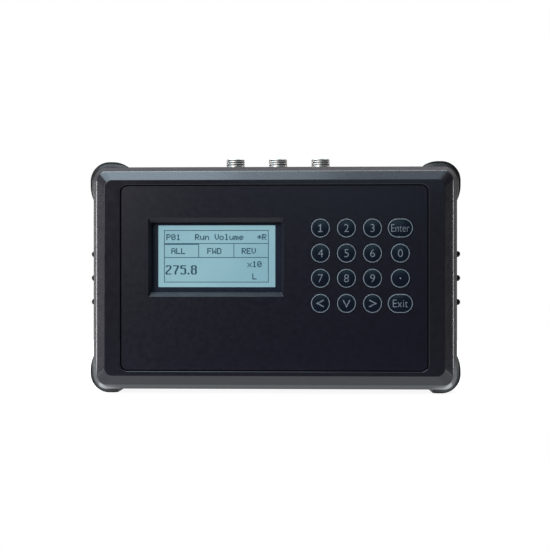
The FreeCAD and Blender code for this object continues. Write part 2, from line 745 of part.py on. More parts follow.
# Panel, lens and display


def front_panel():
    """The inset panel: key holes, the display's bevelled well with its collar, and posts for two boards."""
    bevel = PANEL_EDGE_BEVEL
    sheet = ruled_block([
        rectangle_wire(
            PANEL_WIDTH - 2 * bevel, PANEL_HEIGHT - 2 * bevel, PANEL_CORNER - bevel, PANEL_RECESS
        ),
        rectangle_wire(PANEL_WIDTH, PANEL_HEIGHT, PANEL_CORNER, PANEL_RECESS + bevel),
        rectangle_wire(PANEL_WIDTH, PANEL_HEIGHT, PANEL_CORNER, PANEL_BACK),
    ])
    collar = plate(
        WINDOW_WIDTH + 2 * WELL_COLLAR,
        WINDOW_HEIGHT + 2 * WELL_COLLAR,
        WINDOW_CORNER + WELL_COLLAR,
        PANEL_BACK,
        WELL_BACK,
        WINDOW_X,
        WINDOW_Z,
    )
    posts = [rod(x, z, POST_DIAMETER, PANEL_BACK, LCD_BOARD_FRONT) for x, z in lcd_hole_places()]
    posts += [rod(x, z, POST_DIAMETER, PANEL_BACK, KEYPAD_BOARD_FRONT) for x, z in keypad_hole_places()]
    body = joined([sheet, collar] + posts)
    well = ruled_block([
        rectangle_wire(
            WINDOW_WIDTH + 2 * WELL_SLOPE_X,
            WINDOW_HEIGHT + 2 * WELL_SLOPE_Z,
            WINDOW_CORNER,
            PANEL_RECESS,
            WINDOW_X,
            WINDOW_Z,
        ),
        rectangle_wire(WINDOW_WIDTH, WINDOW_HEIGHT, WINDOW_CORNER, WELL_STEP, WINDOW_X, WINDOW_Z),
        rectangle_wire(WINDOW_WIDTH, WINDOW_HEIGHT, WINDOW_CORNER, WELL_BACK, WINDOW_X, WINDOW_Z),
    ])
    holes = [well]
    for name, (x, z) in key_places().items():
        stretch = KEY_STRETCH if name in WIDE_KEYS else 0
        holes.append(slot_plate(x, z, KEY_RADIUS + KEY_GAP, stretch, PANEL_RECESS, PANEL_BACK))
    pilot = SMALL_SCREW_DIAMETER + 2 * SCREW_CLEARANCE
    grip = SMALL_SCREW_GRIP + SCREW_CLEARANCE
    holes += [rod(x, z, pilot, LCD_BOARD_FRONT - grip, LCD_BOARD_FRONT) for x, z in lcd_hole_places()]
    holes += [
        rod(x, z, pilot, KEYPAD_BOARD_FRONT - grip, KEYPAD_BOARD_FRONT) for x, z in keypad_hole_places()
    ]
    return body.cut(holes)


def panel_gasket():
    """The thin ring of foam tape between the panel's edge and the bezel's ledge."""
    setback = 2 * PANEL_GASKET_SETBACK
    inner_width = PANEL_WIDTH + 2 * PANEL_GAP - 2 * LEDGE_WIDTH
    inner_height = PANEL_HEIGHT + 2 * PANEL_GAP - 2 * LEDGE_WIDTH
    outer = plate(
        PANEL_WIDTH - setback,
        PANEL_HEIGHT - setback,
        PANEL_CORNER - PANEL_GASKET_SETBACK,
        PANEL_BACK,
        LEDGE_FRONT,
    )
    inner = plate(
        inner_width + setback, inner_height + setback, PANEL_CORNER, PANEL_BACK, LEDGE_FRONT
    )
    return outer.cut(inner)


def display_window():
    """The clear lens bonded to the collar behind the well."""
    return plate(
        WINDOW_WIDTH + 2 * WELL_COLLAR,
        WINDOW_HEIGHT + 2 * WELL_COLLAR,
        WINDOW_CORNER + WELL_COLLAR,
        WELL_BACK,
        LENS_BACK,
        WINDOW_X,
        WINDOW_Z,
    )


def lcd_plate(margin, front, back):
    """A plate of the display module, drawn in from the frame's outside by a margin."""
    return plate(
        LCD_FRAME_WIDTH - 2 * margin,
        LCD_FRAME_HEIGHT - 2 * margin,
        LCD_FRAME_SHEET,
        front,
        back,
        LCD_X,
        LCD_Z,
    )


def lcd_frame():
    """The display's folded metal frame, open to the view and at the back."""
    box = lcd_plate(0, LCD_FRONT, LCD_BOARD_FRONT)
    inside = lcd_plate(LCD_FRAME_SHEET, LCD_FRONT + LCD_FRAME_SHEET, LCD_BOARD_FRONT)
    view = plate(
        LCD_VIEW_WIDTH,
        LCD_VIEW_HEIGHT,
        LCD_FRAME_SHEET,
        LCD_FRONT,
        LCD_FRONT + LCD_FRAME_SHEET,
        LCD_X,
        LCD_Z,
    )
    return box.cut([inside, view])


def lcd_glass():
    """The display's glass, held against the inside of the frame."""
    front = LCD_FRONT + LCD_FRAME_SHEET
    return lcd_plate(LCD_FRAME_SHEET + SEAT_CLEARANCE, front, front + LCD_GLASS_THICKNESS)


def lcd_backlight():
    """The light guide between the glass and the display's board."""
    front = LCD_FRONT + LCD_FRAME_SHEET + LCD_GLASS_THICKNESS
    return lcd_plate(LCD_FRAME_SHEET + SEAT_CLEARANCE, front, LCD_BOARD_FRONT)


def drilled_board(width, height, x, middle, front, hole_places):
    """A bare circuit board with clearance holes for its screws."""
    board = plate(width, height, BOARD_CORNER, front, front + BOARD_THICKNESS, x, middle)
    hole = SMALL_SCREW_DIAMETER + 4 * SCREW_CLEARANCE
    return board.cut([rod(hx, hz, hole, front, front + BOARD_THICKNESS) for hx, hz in hole_places])


def lcd_board():
    return drilled_board(
        LCD_BOARD_WIDTH, LCD_BOARD_HEIGHT, LCD_X, LCD_Z, LCD_BOARD_FRONT, lcd_hole_places()
    )


def keypad_board():
    x, middle, width, height = keypad_board_box()
    return drilled_board(width, height, x, middle, KEYPAD_BOARD_FRONT, keypad_hole_places())


def main_board():
    return drilled_board(
        MAIN_BOARD_WIDTH, MAIN_BOARD_HEIGHT, 0, MAIN_BOARD_Z, MAIN_BOARD_FRONT, main_hole_places()
    )


def small_screw(x, height, seat, forward):
    """A pan-head screw whose head lies on a seat. It points forward into a post, or back into one."""
    way = -1 if forward else 1
    grip = BOARD_THICKNESS + SMALL_SCREW_GRIP
    tip = seat + way * grip
    crown = seat - way * SMALL_SCREW_HEAD_HEIGHT
    shank = rod(x, height, SMALL_SCREW_DIAMETER, min(seat, tip), max(seat, tip))
    head = rod(x, height, SMALL_SCREW_HEAD, min(seat, crown), max(seat, crown))
    return joined([shank, head])


def panel_screws():
    """The screws that hold the display's board and the keypad board to the panel's posts."""
    screws = [small_screw(x, z, LCD_BOARD_BACK, True) for x, z in lcd_hole_places()]
    screws += [small_screw(x, z, KEYPAD_BOARD_BACK, True) for x, z in keypad_hole_places()]
    return Part.makeCompound(screws)


def board_screws():
    """The screws that hold the main board to the rear housing's posts."""
    return Part.makeCompound([small_screw(x, z, MAIN_BOARD_FRONT, False) for x, z in main_hole_places()])


# Keys


def key(name):
    """A domed key cap with a flange that keeps it behind the panel and a stem that meets its snap dome."""
    x, z = key_places()[name]
    stretch = KEY_STRETCH if name in WIDE_KEYS else 0
    apex = PANEL_RECESS - KEY_PROUD
    flange_front = PANEL_BACK + KEY_FLANGE_GAP
    flange_back = flange_front + KEY_FLANGE_THICKNESS
    cap = slot_plate(x, z, KEY_RADIUS, stretch, apex, flange_back)
    cap = cap.common(Part.makeSphere(KEY_DOME_RADIUS, place(x, apex + KEY_DOME_RADIUS, z)))
    flange = slot_plate(x, z, KEY_RADIUS + KEY_FLANGE, stretch, flange_front, flange_back)
    stem_end = KEYPAD_BOARD_FRONT - DOME_HEIGHT - DOME_GAP
    stem = rod(x, z, KEY_STEM_DIAMETER, flange_back, stem_end)
    return joined([cap, flange, stem])


def key_domes():
    """The sprung metal domes on the keypad board, one under each key."""
    rim = DOME_DIAMETER / 2
    radius = (rim ** 2 + DOME_HEIGHT ** 2) / (2 * DOME_HEIGHT)
    front = KEYPAD_BOARD_FRONT - DOME_HEIGHT
    inner = radius - DOME_SHEET
    inner_rim = math.sqrt(inner ** 2 - (radius - DOME_HEIGHT) ** 2)
    half = math.asin(rim / radius) / 2
    inner_half = math.asin(inner_rim / inner) / 2
    centre = front + radius
    domes = []
    for x, z in key_places().values():
        profile = (
            (0, front),
            (radius * math.sin(half), centre - radius * math.cos(half)),
            (rim, KEYPAD_BOARD_FRONT),
            (inner_rim, KEYPAD_BOARD_FRONT),
            (inner * math.sin(inner_half), centre - inner * math.cos(inner_half)),
            (0, front + DOME_SHEET),
        )
        p = [place(x + across, depth, z) for across, depth in profile]
        section = Part.Face(Part.Wire([
            Part.Arc(p[0], p[1], p[2]).toShape(),
            Part.LineSegment(p[2], p[3]).toShape(),
            Part.Arc(p[3], p[4], p[5]).toShape(),
            Part.LineSegment(p[5], p[0]).toShape(),
        ]))
        domes.append(section.revolve(place(x, 0, z), FreeCAD.Vector(0, 1, 0), 360))
    return Part.makeCompound(domes)


# Boards' parts and the battery


def stack_header(x, board_bottom, front):
    """A header from a board's back to the main board, near the board's lower edge."""
    return plate(
        STACK_HEADER_LENGTH,
        STACK_HEADER_WIDTH,
        HEADER_CORNER,
        front,
        MAIN_BOARD_FRONT,
        x,
        board_bottom + STACK_HEADER_INSET,
    )


def display_header():
    """The header that stacks the display's board on the main board."""
    return stack_header(LCD_X, LCD_Z - LCD_BOARD_HEIGHT / 2, LCD_BOARD_BACK)


def keypad_header():
    """The taller header that stacks the keypad board on the main board."""
    x, middle, width, height = keypad_board_box()
    return stack_header(x, middle - height / 2, KEYPAD_BOARD_BACK)


def board_chips():
    """The larger chips on the front of the main board."""
    chips = []
    for x, up, width, height, thickness in CHIPS:
        front = MAIN_BOARD_FRONT - thickness
        middle = MAIN_BOARD_BOTTOM + up
        chips.append(plate(width, height, CHIP_CORNER, front, MAIN_BOARD_FRONT, x, middle))
    return Part.makeCompound(chips)


def battery_pack():
    """Three wrapped cells side by side."""
    radius = CELL_DIAMETER / 2
    cells = []
    for index in range(CELL_COUNT):
        x = BATTERY_X + (index - (CELL_COUNT - 1) / 2) * CELL_DIAMETER
        foot = place(x, BATTERY_FRONT + radius, BATTERY_Z - CELL_LENGTH / 2)
        cells.append(Part.makeCylinder(radius, CELL_LENGTH, foot, FreeCAD.Vector(0, 0, 1)))
    wrap = Part.makeBox((CELL_COUNT - 1) * CELL_DIAMETER, CELL_DIAMETER, CELL_LENGTH)
    wrap.translate(place(
        BATTERY_X - (CELL_COUNT - 1) * CELL_DIAMETER / 2, BATTERY_FRONT, BATTERY_Z - CELL_LENGTH / 2
    ))
    return joined([wrap] + cells)


def battery_pad():
    """The foam that the battery lies on."""
    return plate(
        (CELL_COUNT - 1) * CELL_DIAMETER,
        CELL_LENGTH,
        BATTERY_PAD_CORNER,
        CAVITY_BACK - BATTERY_PAD,
        CAVITY_BACK,
        BATTERY_X,
        BATTERY_Z,
    )


def battery_clamp():
    """The bent strap that holds the battery down, with a foot on a boss at each side."""
    half = CELL_COUNT * CELL_DIAMETER / 2 + CLAMP_CLEARANCE
    front = BATTERY_FRONT - CLAMP_CLEARANCE
    seat = CAVITY_BACK - CLAMP_BOSS_HEIGHT
    bend = CELL_DIAMETER / 2
    over = plate_across(half + CLAMP_SHEET, bend, front - CLAMP_SHEET, seat)
    hollow = plate_across(half, bend - CLAMP_SHEET, front, seat)
    strap = over.cut(hollow)
    feet = []
    for side in (-1, 1):
        foot = Part.makeBox(CLAMP_FOOT + CLAMP_SHEET, CLAMP_SHEET, CLAMP_WIDTH)
        inner = half if side > 0 else -half - CLAMP_FOOT - CLAMP_SHEET
        foot.translate(place(BATTERY_X + inner, seat - CLAMP_SHEET, BATTERY_Z - CLAMP_WIDTH / 2))
        feet.append(foot)
    hole = SMALL_SCREW_DIAMETER + 4 * SCREW_CLEARANCE
    holes = [rod(x, z, hole, seat - CLAMP_SHEET, seat) for x, z in clamp_hole_places()]
    return joined([strap] + feet).cut(holes)


def plate_across(half, bend, front, back):
    """A block as wide as the clamp with its two front edges rounded."""
    block = Part.makeBox(2 * half, back - front, CLAMP_WIDTH)
    block.translate(place(BATTERY_X - half, front, BATTERY_Z - CLAMP_WIDTH / 2))
    level = place(0, front, 0).y
    edges = [
        edge for edge in block.Edges
        if all(abs(v.Y - level) < 1e-6 for v in edge.Vertexes)
        and abs(edge.Vertexes[0].X - edge.Vertexes[1].X) < 1e-6
    ]
    return block.makeFillet(bend, edges)


def clamp_screws():
    """The screws through the clamp's feet."""
    seat = CAVITY_BACK - CLAMP_BOSS_HEIGHT - CLAMP_SHEET
    screws = []
    for x, z in clamp_hole_places():
        shank = rod(x, z, SMALL_SCREW_DIAMETER, seat, seat + CLAMP_SHEET + SMALL_SCREW_GRIP)
        head = rod(x, z, SMALL_SCREW_HEAD, seat - SMALL_SCREW_HEAD_HEIGHT, seat)
        screws.append(joined([shank, head]))
    return Part.makeCompound(screws)


# Sockets


def socket_shell(x):
    """A plated shell: a threaded mouth over a flange, and a neck that goes through the case's wall."""
    thread = SOCKET_THREAD_DIAMETER / 2
    chamfer = SOCKET_THREAD_CHAMFER
    mouth = SOCKET_MOUTH_DIAMETER / 2
    return turned(x, (
        (mouth, SOCKET_RIM),
        (thread - chamfer, SOCKET_RIM),
        (thread, SOCKET_RIM - chamfer),
        (thread, SOCKET_FLANGE_TOP),
        (SOCKET_FLANGE_DIAMETER / 2, SOCKET_FLANGE_TOP),
        (SOCKET_FLANGE_DIAMETER / 2, SOCKET_FLANGE_TOP - SOCKET_FLANGE_HEIGHT),
        (SOCKET_NECK_DIAMETER / 2, SOCKET_FLANGE_TOP - SOCKET_FLANGE_HEIGHT),
        (SOCKET_NECK_DIAMETER / 2, SOCKET_NECK_END),
        (SOCKET_BORE_DIAMETER / 2, SOCKET_NECK_END),
        (SOCKET_BORE_DIAMETER / 2, SOCKET_FLOOR - SOCKET_INSERT_COLLAR),
        (mouth, SOCKET_FLOOR - SOCKET_INSERT_COLLAR),
    ))


def socket_insert(x):
    """The insulator, with a collar on the shell's step and holes for the pins."""
    collar = SOCKET_MOUTH_DIAMETER / 2 - SEAT_CLEARANCE
    barrel = SOCKET_BORE_DIAMETER / 2 - SEAT_CLEARANCE
    blank = turned(x, (
        (0, SOCKET_FLOOR),
        (collar, SOCKET_FLOOR),
        (collar, SOCKET_FLOOR - SOCKET_INSERT_COLLAR),
        (barrel, SOCKET_FLOOR - SOCKET_INSERT_COLLAR),
        (barrel, SOCKET_INSERT_END),
        (0, SOCKET_INSERT_END),
    ))
    return blank.cut(socket_pin_bars(x, SOCKET_INSERT_END, SOCKET_FLOOR, SCREW_CLEARANCE))


def socket_pin_bars(x, bottom, top, clearance):
    """Upright bars at the pins' places."""
    bars = []
    for index in range(SOCKET_PIN_COUNT):
        angle = 2 * math.pi * (index + 0.5) / SOCKET_PIN_COUNT
        across = x + SOCKET_PIN_CIRCLE / 2 * math.cos(angle)
        depth = SOCKET_DEPTH + SOCKET_PIN_CIRCLE / 2 * math.sin(angle)
        bars.append(Part.makeCylinder(
            SOCKET_PIN_DIAMETER / 2 + clearance,
            top - bottom,
            place(across, depth, bottom),
            FreeCAD.Vector(0, 0, 1),
        ))
    return bars


def socket_pins(x):
    """The contact pins, through the insulator."""
    bottom = SOCKET_INSERT_END - SOCKET_PIN_TAIL
    return Part.makeCompound(socket_pin_bars(x, bottom, SOCKET_FLOOR + SOCKET_PIN_LENGTH, 0))


def socket_seals():
    """Flat rings under the sockets' flanges."""
    inner = SOCKET_NECK_DIAMETER / 2 + SEAT_CLEARANCE
    outer = SOCKET_FLANGE_DIAMETER / 2
    top = CASE_TOP + SOCKET_SEAL_HEIGHT
    profile = ((inner, CASE_TOP), (outer, CASE_TOP), (outer, top), (inner, top))
    return Part.makeCompound([turned(x, profile) for x in socket_places().values()])


def socket_nuts():
    """Six-sided nuts that clamp the sockets from inside the case."""
    nuts = []
    top = CASE_TOP - WALL
    for x in socket_places().values():
        radius = SOCKET_NUT_FLATS / math.sqrt(3)
        points = []
        for index in range(7):
            angle = math.radians(60 * index)
            points.append(place(
                x + radius * math.cos(angle), SOCKET_DEPTH + radius * math.sin(angle), top
            ))
        blank = Part.Face(Part.makePolygon(points)).extrude(FreeCAD.Vector(0, 0, -SOCKET_NUT_HEIGHT))
        bore = Part.makeCylinder(
            SOCKET_NECK_DIAMETER / 2 + SCREW_CLEARANCE,
            SOCKET_NUT_HEIGHT,
            place(x, SOCKET_DEPTH, top - SOCKET_NUT_HEIGHT),
            FreeCAD.Vector(0, 0, 1),
        )
        nuts.append(blank.cut(bore))
    return Part.makeCompound(nuts)


def lead_headers():
    """Plug-in headers at the top edge of the main board's back, one below each socket."""
    headers = []
    for x in socket_places().values():
        headers.append(plate(
            LEAD_HEADER_LENGTH,
            LEAD_HEADER_HEIGHT,
            HEADER_CORNER,
            MAIN_BOARD_BACK,
            MAIN_BOARD_BACK + LEAD_HEADER_DEPTH,
            x,
            MAIN_BOARD_TOP - LEAD_HEADER_HEIGHT / 2,
        ))
    return Part.makeCompound(headers)


def socket_lead(x):
    """A sheathed lead that drops from a socket and steps forward to its header."""
    start_depth = SOCKET_DEPTH
    end_depth = MAIN_BOARD_BACK + LEAD_HEADER_DEPTH / 2
    top = SOCKET_INSERT_END - SOCKET_PIN_TAIL
    bottom = MAIN_BOARD_TOP
    step = start_depth - end_depth
    turn = math.acos(1 - step / (2 * LEAD_BEND))
    rise = LEAD_BEND * math.sin(turn)
    middle = (top + bottom) / 2
    bulge = LEAD_BEND * (1 - math.cos(turn / 2))
    drop = LEAD_BEND * math.sin(turn / 2)
    points = [
        (start_depth, top),
        (start_depth, middle + rise),
        (start_depth - bulge, middle + rise - drop),
        ((start_depth + end_depth) / 2, middle),
        (end_depth + bulge, middle - rise + drop),
        (end_depth, middle - rise),
        (end_depth, bottom),
    ]
    p = [place(x, depth, height) for depth, height in points]
    spine = Part.Wire([
        Part.LineSegment(p[0], p[1]).toShape(),
        Part.Arc(p[1], p[2], p[3]).toShape(),
        Part.Arc(p[3], p[4], p[5]).toShape(),
        Part.LineSegment(p[5], p[6]).toShape(),
    ])
    circle = Part.Wire(Part.makeCircle(LEAD_DIAMETER / 2, p[0], FreeCAD.Vector(0, 0, 1)))
    return spine.makePipeShell([circle], True, False)


# The whole meter


def nodes():
    """Every piece by name."""
    pieces = {
        "front_bezel": front_bezel(),
        "rear_housing": rear_housing(),
        "housing_seal": housing_seal(),
        "threaded_inserts": threaded_inserts(),
        "case_screws": case_screws(),
        "front_panel": front_panel(),
        "panel_gasket": panel_gasket(),
        "panel_screws": panel_screws(),
        "display_window": display_window(),
        "lcd_frame": lcd_frame(),
        "lcd_glass": lcd_glass(),
        "lcd_backlight": lcd_backlight(),
        "lcd_board": lcd_board(),
        "keypad_board": keypad_board(),
        "key_domes": key_domes(),
        "main_board": main_board(),
        "board_chips": board_chips(),
        "board_screws": board_screws(),
        "display_header": display_header(),
        "keypad_header": keypad_header(),
        "lead_headers": lead_headers(),
        "socket_leads": Part.makeCompound([socket_lead(x) for x in socket_places().values()]),
        "battery_pack": battery_pack(),
        "battery_pad": battery_pad(),
        "battery_clamp": battery_clamp(),
        "clamp_screws": clamp_screws(),
        "socket_seals": socket_seals(),
        "socket_nuts": socket_nuts(),
        "side_grip_left": side_grip(-1),
        "side_grip_right": side_grip(1),
    }
    for name, (sx, sz) in CORNERS.items():
        pieces["bumper_" + name] = bumper(sx, sz)
    for name in key_places():
        pieces["key_" + name] = key(name)
    for name, x in socket_places().items():
        pieces[name + "_socket_shell"] = socket_shell(x)
        pieces[name + "_socket_insert"] = socket_insert(x)
        pieces[name + "_socket_pins"] = socket_pins(x)
    return pieces


def main():
    os.makedirs("parts", exist_ok=True)
    for name, shape in nodes().items():
        shape.exportStep(os.path.join("parts", name + ".step"))


if __name__ == "__main__":
    main()
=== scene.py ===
import json
import math

import bmesh
import bpy
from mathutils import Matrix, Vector


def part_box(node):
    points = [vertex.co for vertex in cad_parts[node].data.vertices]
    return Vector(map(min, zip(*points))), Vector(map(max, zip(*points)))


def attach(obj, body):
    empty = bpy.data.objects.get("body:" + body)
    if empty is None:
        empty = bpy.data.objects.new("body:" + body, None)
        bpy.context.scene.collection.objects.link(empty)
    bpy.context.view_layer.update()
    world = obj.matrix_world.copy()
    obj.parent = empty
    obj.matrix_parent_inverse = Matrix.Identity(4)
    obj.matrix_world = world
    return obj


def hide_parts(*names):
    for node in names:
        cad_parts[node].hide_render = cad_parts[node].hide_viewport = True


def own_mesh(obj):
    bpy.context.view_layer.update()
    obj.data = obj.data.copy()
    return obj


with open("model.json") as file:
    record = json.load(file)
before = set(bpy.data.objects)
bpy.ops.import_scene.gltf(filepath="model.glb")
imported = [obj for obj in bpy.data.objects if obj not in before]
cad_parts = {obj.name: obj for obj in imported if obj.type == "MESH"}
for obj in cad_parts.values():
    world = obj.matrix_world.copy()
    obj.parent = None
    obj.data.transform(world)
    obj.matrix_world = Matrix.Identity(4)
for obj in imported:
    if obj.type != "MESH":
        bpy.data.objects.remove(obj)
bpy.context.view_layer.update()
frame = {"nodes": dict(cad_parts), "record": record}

# Handheld flow meter: finishes, key prints, snap domes, the display's picture, threaded sockets, studio
# and camera. Metres, in the frame of the solids: X to the reader's right, Z up, the panel faces -Y.

MM = 0.001
WHITE = (1.0, 1.0, 1.0)
SMOOTH_ANGLE = math.radians(40)

# Finishes: the darkest and lightest colour, the range of roughness, the grain's size and its relief
FINISHES = {
    "case_plastic": (
        (0.0155, 0.0143, 0.0240), (0.0190, 0.0175, 0.0290), (0.16, 0.20), 0.35 * MM, 0.0002 * MM,
    ),
    "panel_plastic": (
        (0.0056, 0.0050, 0.0155), (0.0076, 0.0070, 0.0205), (0.28, 0.34), 0.25 * MM, 0.0008 * MM,
    ),
    "key_plastic": (
        (0.0025, 0.0085, 0.0230), (0.0035, 0.0115, 0.0310), (0.20, 0.25), 0.3 * MM, 0.001 * MM,
    ),
    "header_black": ((0.010, 0.010, 0.011), (0.016, 0.016, 0.017), (0.45, 0.55), 0.4 * MM, 0.01 * MM),
    "light_guide": ((0.62, 0.76, 0.80), (0.70, 0.82, 0.85), (0.15, 0.25), 1.0 * MM, 0.005 * MM),
    "lcd_frame_black": ((0.005, 0.010, 0.030), (0.007, 0.014, 0.037), (0.38, 0.46), 0.5 * MM, 0.005 * MM),
    "battery_wrap": ((0.010, 0.035, 0.14), (0.016, 0.050, 0.19), (0.28, 0.38), 1.5 * MM, 0.02 * MM),
    "bumper_rubber": ((0.004, 0.004, 0.005), (0.008, 0.008, 0.009), (0.46, 0.56), 0.4 * MM, 0.02 * MM),
    "seal_rubber": ((0.014, 0.014, 0.014), (0.020, 0.020, 0.020), (0.66, 0.78), 0.3 * MM, 0.02 * MM),
    "lead_sheath": ((0.012, 0.012, 0.012), (0.018, 0.018, 0.018), (0.48, 0.60), 0.6 * MM, 0.02 * MM),
    "socket_nickel": ((0.60, 0.58, 0.55), (0.70, 0.68, 0.64), (0.28, 0.33), 0.12 * MM, 0.003 * MM),
    "pin_gold": ((0.74, 0.50, 0.18), (0.82, 0.58, 0.24), (0.18, 0.26), 0.1 * MM, 0.003 * MM),
    "insert_brass": ((0.62, 0.44, 0.18), (0.70, 0.50, 0.22), (0.28, 0.38), 0.15 * MM, 0.01 * MM),
    "screw_steel": ((0.30, 0.30, 0.31), (0.40, 0.40, 0.41), (0.30, 0.42), 0.15 * MM, 0.006 * MM),
    "key_print": ((0.30, 0.37, 0.44), (0.36, 0.43, 0.50), (0.40, 0.50), 0.2 * MM, 0.004 * MM),
    "dot_ink": ((0.044, 0.190, 0.285), (0.060, 0.235, 0.340), (0.45, 0.55), 0.3 * MM, 0.002 * MM),
}
METALS = ("socket_nickel", "pin_gold", "insert_brass", "screw_steel")
LESS_GLOSS = {"key_plastic": 0.48, "bumper_rubber": 0.28}

# Noise: its stretch along the axes, the size of the mottling for each size of grain, and its usual ends
EVEN = (1.0, 1.0, 1.0)
GRAIN_STRETCH = {"socket_nickel": (0.3, 0.3, 2.5)}
MOTTLE_PER_GRAIN = 12
NOISE_ENDS = (0.3, 0.7)

# Circuit boards: copper runs under a green mask
RUN_LENGTH = 9.0 * MM
RUN_PITCH = 1.3 * MM
RUN_GAP = 0.18 * MM
RUN_RELIEF = 0.03 * MM
RUN_OFFSET = 0.5
MASK_COLOURS = ((0.012, 0.075, 0.035), (0.016, 0.095, 0.045), (0.030, 0.160, 0.080))
MASK_MOTTLE = 2.0 * MM
MASK_ROUGHNESS = (0.30, 0.42)

# The lit display glass and the window over it
GLASS_DARK = (0.242, 0.430, 0.492)
GLASS_LIGHT = (0.288, 0.490, 0.545)
GLASS_MOTTLE = 60.0 * MM
GLASS_ROUGHNESS = 0.35
UNLIT_DOT = (0.93, 0.95, 0.96)
WINDOW_DARK = (0.020, 0.046, 0.090)
WINDOW_LIGHT = (0.026, 0.056, 0.106)
WINDOW_MOTTLE = 25.0 * MM
WINDOW_SMEAR = 8.0 * MM
WINDOW_ROUGHNESS = (0.06, 0.12)
WINDOW_ALPHA = 0.14

# Side walls of the display's well, inside the window's edge and behind the panel's front
WELL_COLLAR = 2.5 * MM
WALL_EDGE = 0.1 * MM
WALL_ROUGHNESS = 0.85

# Keys: what each one shows, and the cap's form
KEY_LEGENDS = {
    "one": "1", "two": "2", "three": "3", "enter": "Enter",
    "four": "4", "five": "5", "six": "6", "zero": "0",
    "seven": "7", "eight": "8", "nine": "9", "point": "dot",
    "left": "chevron_left", "down": "chevron_down", "right": "chevron_right", "exit": "Exit",
}
KEY_DOME_RADIUS = 45.0 * MM
KEY_FLANGE = 0.8 * MM

# The raised ring round a key, with its section as shares of its width and rise
RING_INSET = 0.18 * MM
RING_WIDTH = 0.55 * MM
RING_RISE = 0.16 * MM
RING_SECTION = ((0.0, -0.2), (0.0, 0.35), (0.2, 0.85), (0.5, 1.0), (0.8, 0.85), (1.0, 0.35), (1.0, -0.2))
RING_STEPS = 48
RING_RUN_STEPS = 8

# The sign on a key. The letters' depth and offset are in the font's own units
PRINT_LIFT = 0.03 * MM
PRINT_STEP = 0.7 * MM
PRINT_CUTS = 3
PRINT_MERGE = 0.0001 * MM
DIGIT_HEIGHT = 5.0 * MM
WORD_HEIGHT = 4.8 * MM
WORD_WIDTHS = {"Enter": 11.4 * MM, "Exit": 9.5 * MM}
LETTER_STEPS = 4
LETTER_DEPTH = 0.02
LETTER_OFFSET = -0.012
CHEVRON_REACH = 2.1 * MM
CHEVRON_STROKE = 0.7 * MM
POINT_RADIUS = 0.55 * MM
FIGURE_ONE = (
    (-0.28, -0.5), (0.28, -0.5), (0.28, -0.38), (0.07, -0.38), (0.07, 0.5), (-0.05, 0.5),
    (-0.13, 0.38), (-0.27, 0.34), (-0.27, 0.23), (-0.07, 0.26), (-0.07, -0.38), (-0.28, -0.38),
)

# Snap domes under the keys
SNAP_RADIUS = 4.5 * MM
SNAP_SHEET = 0.2 * MM
SNAP_STEPS = 8
SNAP_TURNS = 40

# The display's picture, on a field of dots. Fills and the shift of the dots' painted shadow are shares of
# the dots' pitch
DOT_COLUMNS = 128
DOT_ROWS = 64
DOT_PITCH = 67.4 * MM / DOT_COLUMNS
DOT_SHIFT = -0.3 * MM
DOT_FILL = 0.98
RULE_FILL = 0.84
PAINTED_DOT_SHADOW_SHIFT = 0.27
DOT_THICKNESS = 0.03 * MM
DOT_LAYER = 0.04 * MM
HEADER_LINE = 16
TAB_LINE = 33
TAB_DIVIDERS = (42, 85)
TAB_MARK_ROWS = 2

# Sockets, measured down from the rim. The thread is flat at crest and root for a share of half its pitch
SOCKETS = ("upstream", "output", "downstream")
THREAD_RADIUS = 6.1 * MM
THREAD_PITCH = 1.45 * MM
THREAD_DEPTH = 0.42 * MM
THREAD_FLAT = 0.1296
THREAD_LENGTH = 4.9 * MM
RIM_CHAMFER = 0.4 * MM
SOCKET_EDGE = 0.15 * MM
FLANGE_HEIGHT = 1.0 * MM
NECK_RADIUS = 5.0 * MM
MOUTH_RADIUS = 4.7 * MM
BORE_RADIUS = 3.8 * MM
MOUTH_DEPTH = 7.8 * MM
SOCKET_STEPS = 96
THREAD_STEPS = 12

# Camera, as the photograph was taken, with the lens and sensor in millimetres
CAMERA_AZIMUTH = math.radians(1.8)
CAMERA_DISTANCE = 0.7
CAMERA_LENS = 72.3
CAMERA_SENSOR = 36.0
CAMERA_NEAR = 0.01
IMAGE_SIZE = 550
OBJECT_AT_PIXEL = (273.75, 278.0)

# Surroundings that glow: the way to each, the cosines where it starts and is full, and its strength
GLOWS = (
    ((0.0, 0.6, 0.8), 0.45, 0.95, 0.45),
    ((-1.0, 0.0, 0.0), 0.25, 0.85, 0.40),
    ((-0.85, -0.53, 0.0), 0.70, 0.92, 0.60),
    ((0.68, 0.73, 0.0), 0.80, 0.98, 0.12),
)
WORLD_DIM = 0.11
WORLD_BOUNCED = 0.55

# Lamps: place, width, height, power and colour
LAMPS_LOOKING_DOWN = {
    "top_light": ((-0.565, 0.08, 1.0), 0.95, 0.7, 7.9, (0.66, 0.86, 1.0)),
    "top_middle": ((-0.02, 0.08, 1.0), 0.14, 0.7, 0.65, (0.64, 0.86, 1.0)),
    "top_fill": ((0.3025, 0.08, 1.0), 0.505, 0.7, 0.75, (0.58, 0.86, 1.0)),
}
LAMPS_AT_METER = {
    "left_light": ((-0.70, -1.02, 0.45), 0.6, 0.6, 4.9, WHITE),
    "front_light": ((-0.30, -0.95, 0.75), 1.2, 0.5, 2.3, WHITE),
    "key_light": ((0.09, -1.0, 0.30), 0.36, 0.10, 0.11, (0.40, 0.88, 1.0)),
    "left_rim": ((-0.595, 0.345, 0.036), 0.14, 0.342, 1.3, WHITE),
    "right_rim": ((0.623, 0.301, 0.036), 0.09, 0.342, 0.9, WHITE),
    "back_rim": ((-0.10, 0.38, 0.88), 1.1, 0.18, 2.6, WHITE),
}

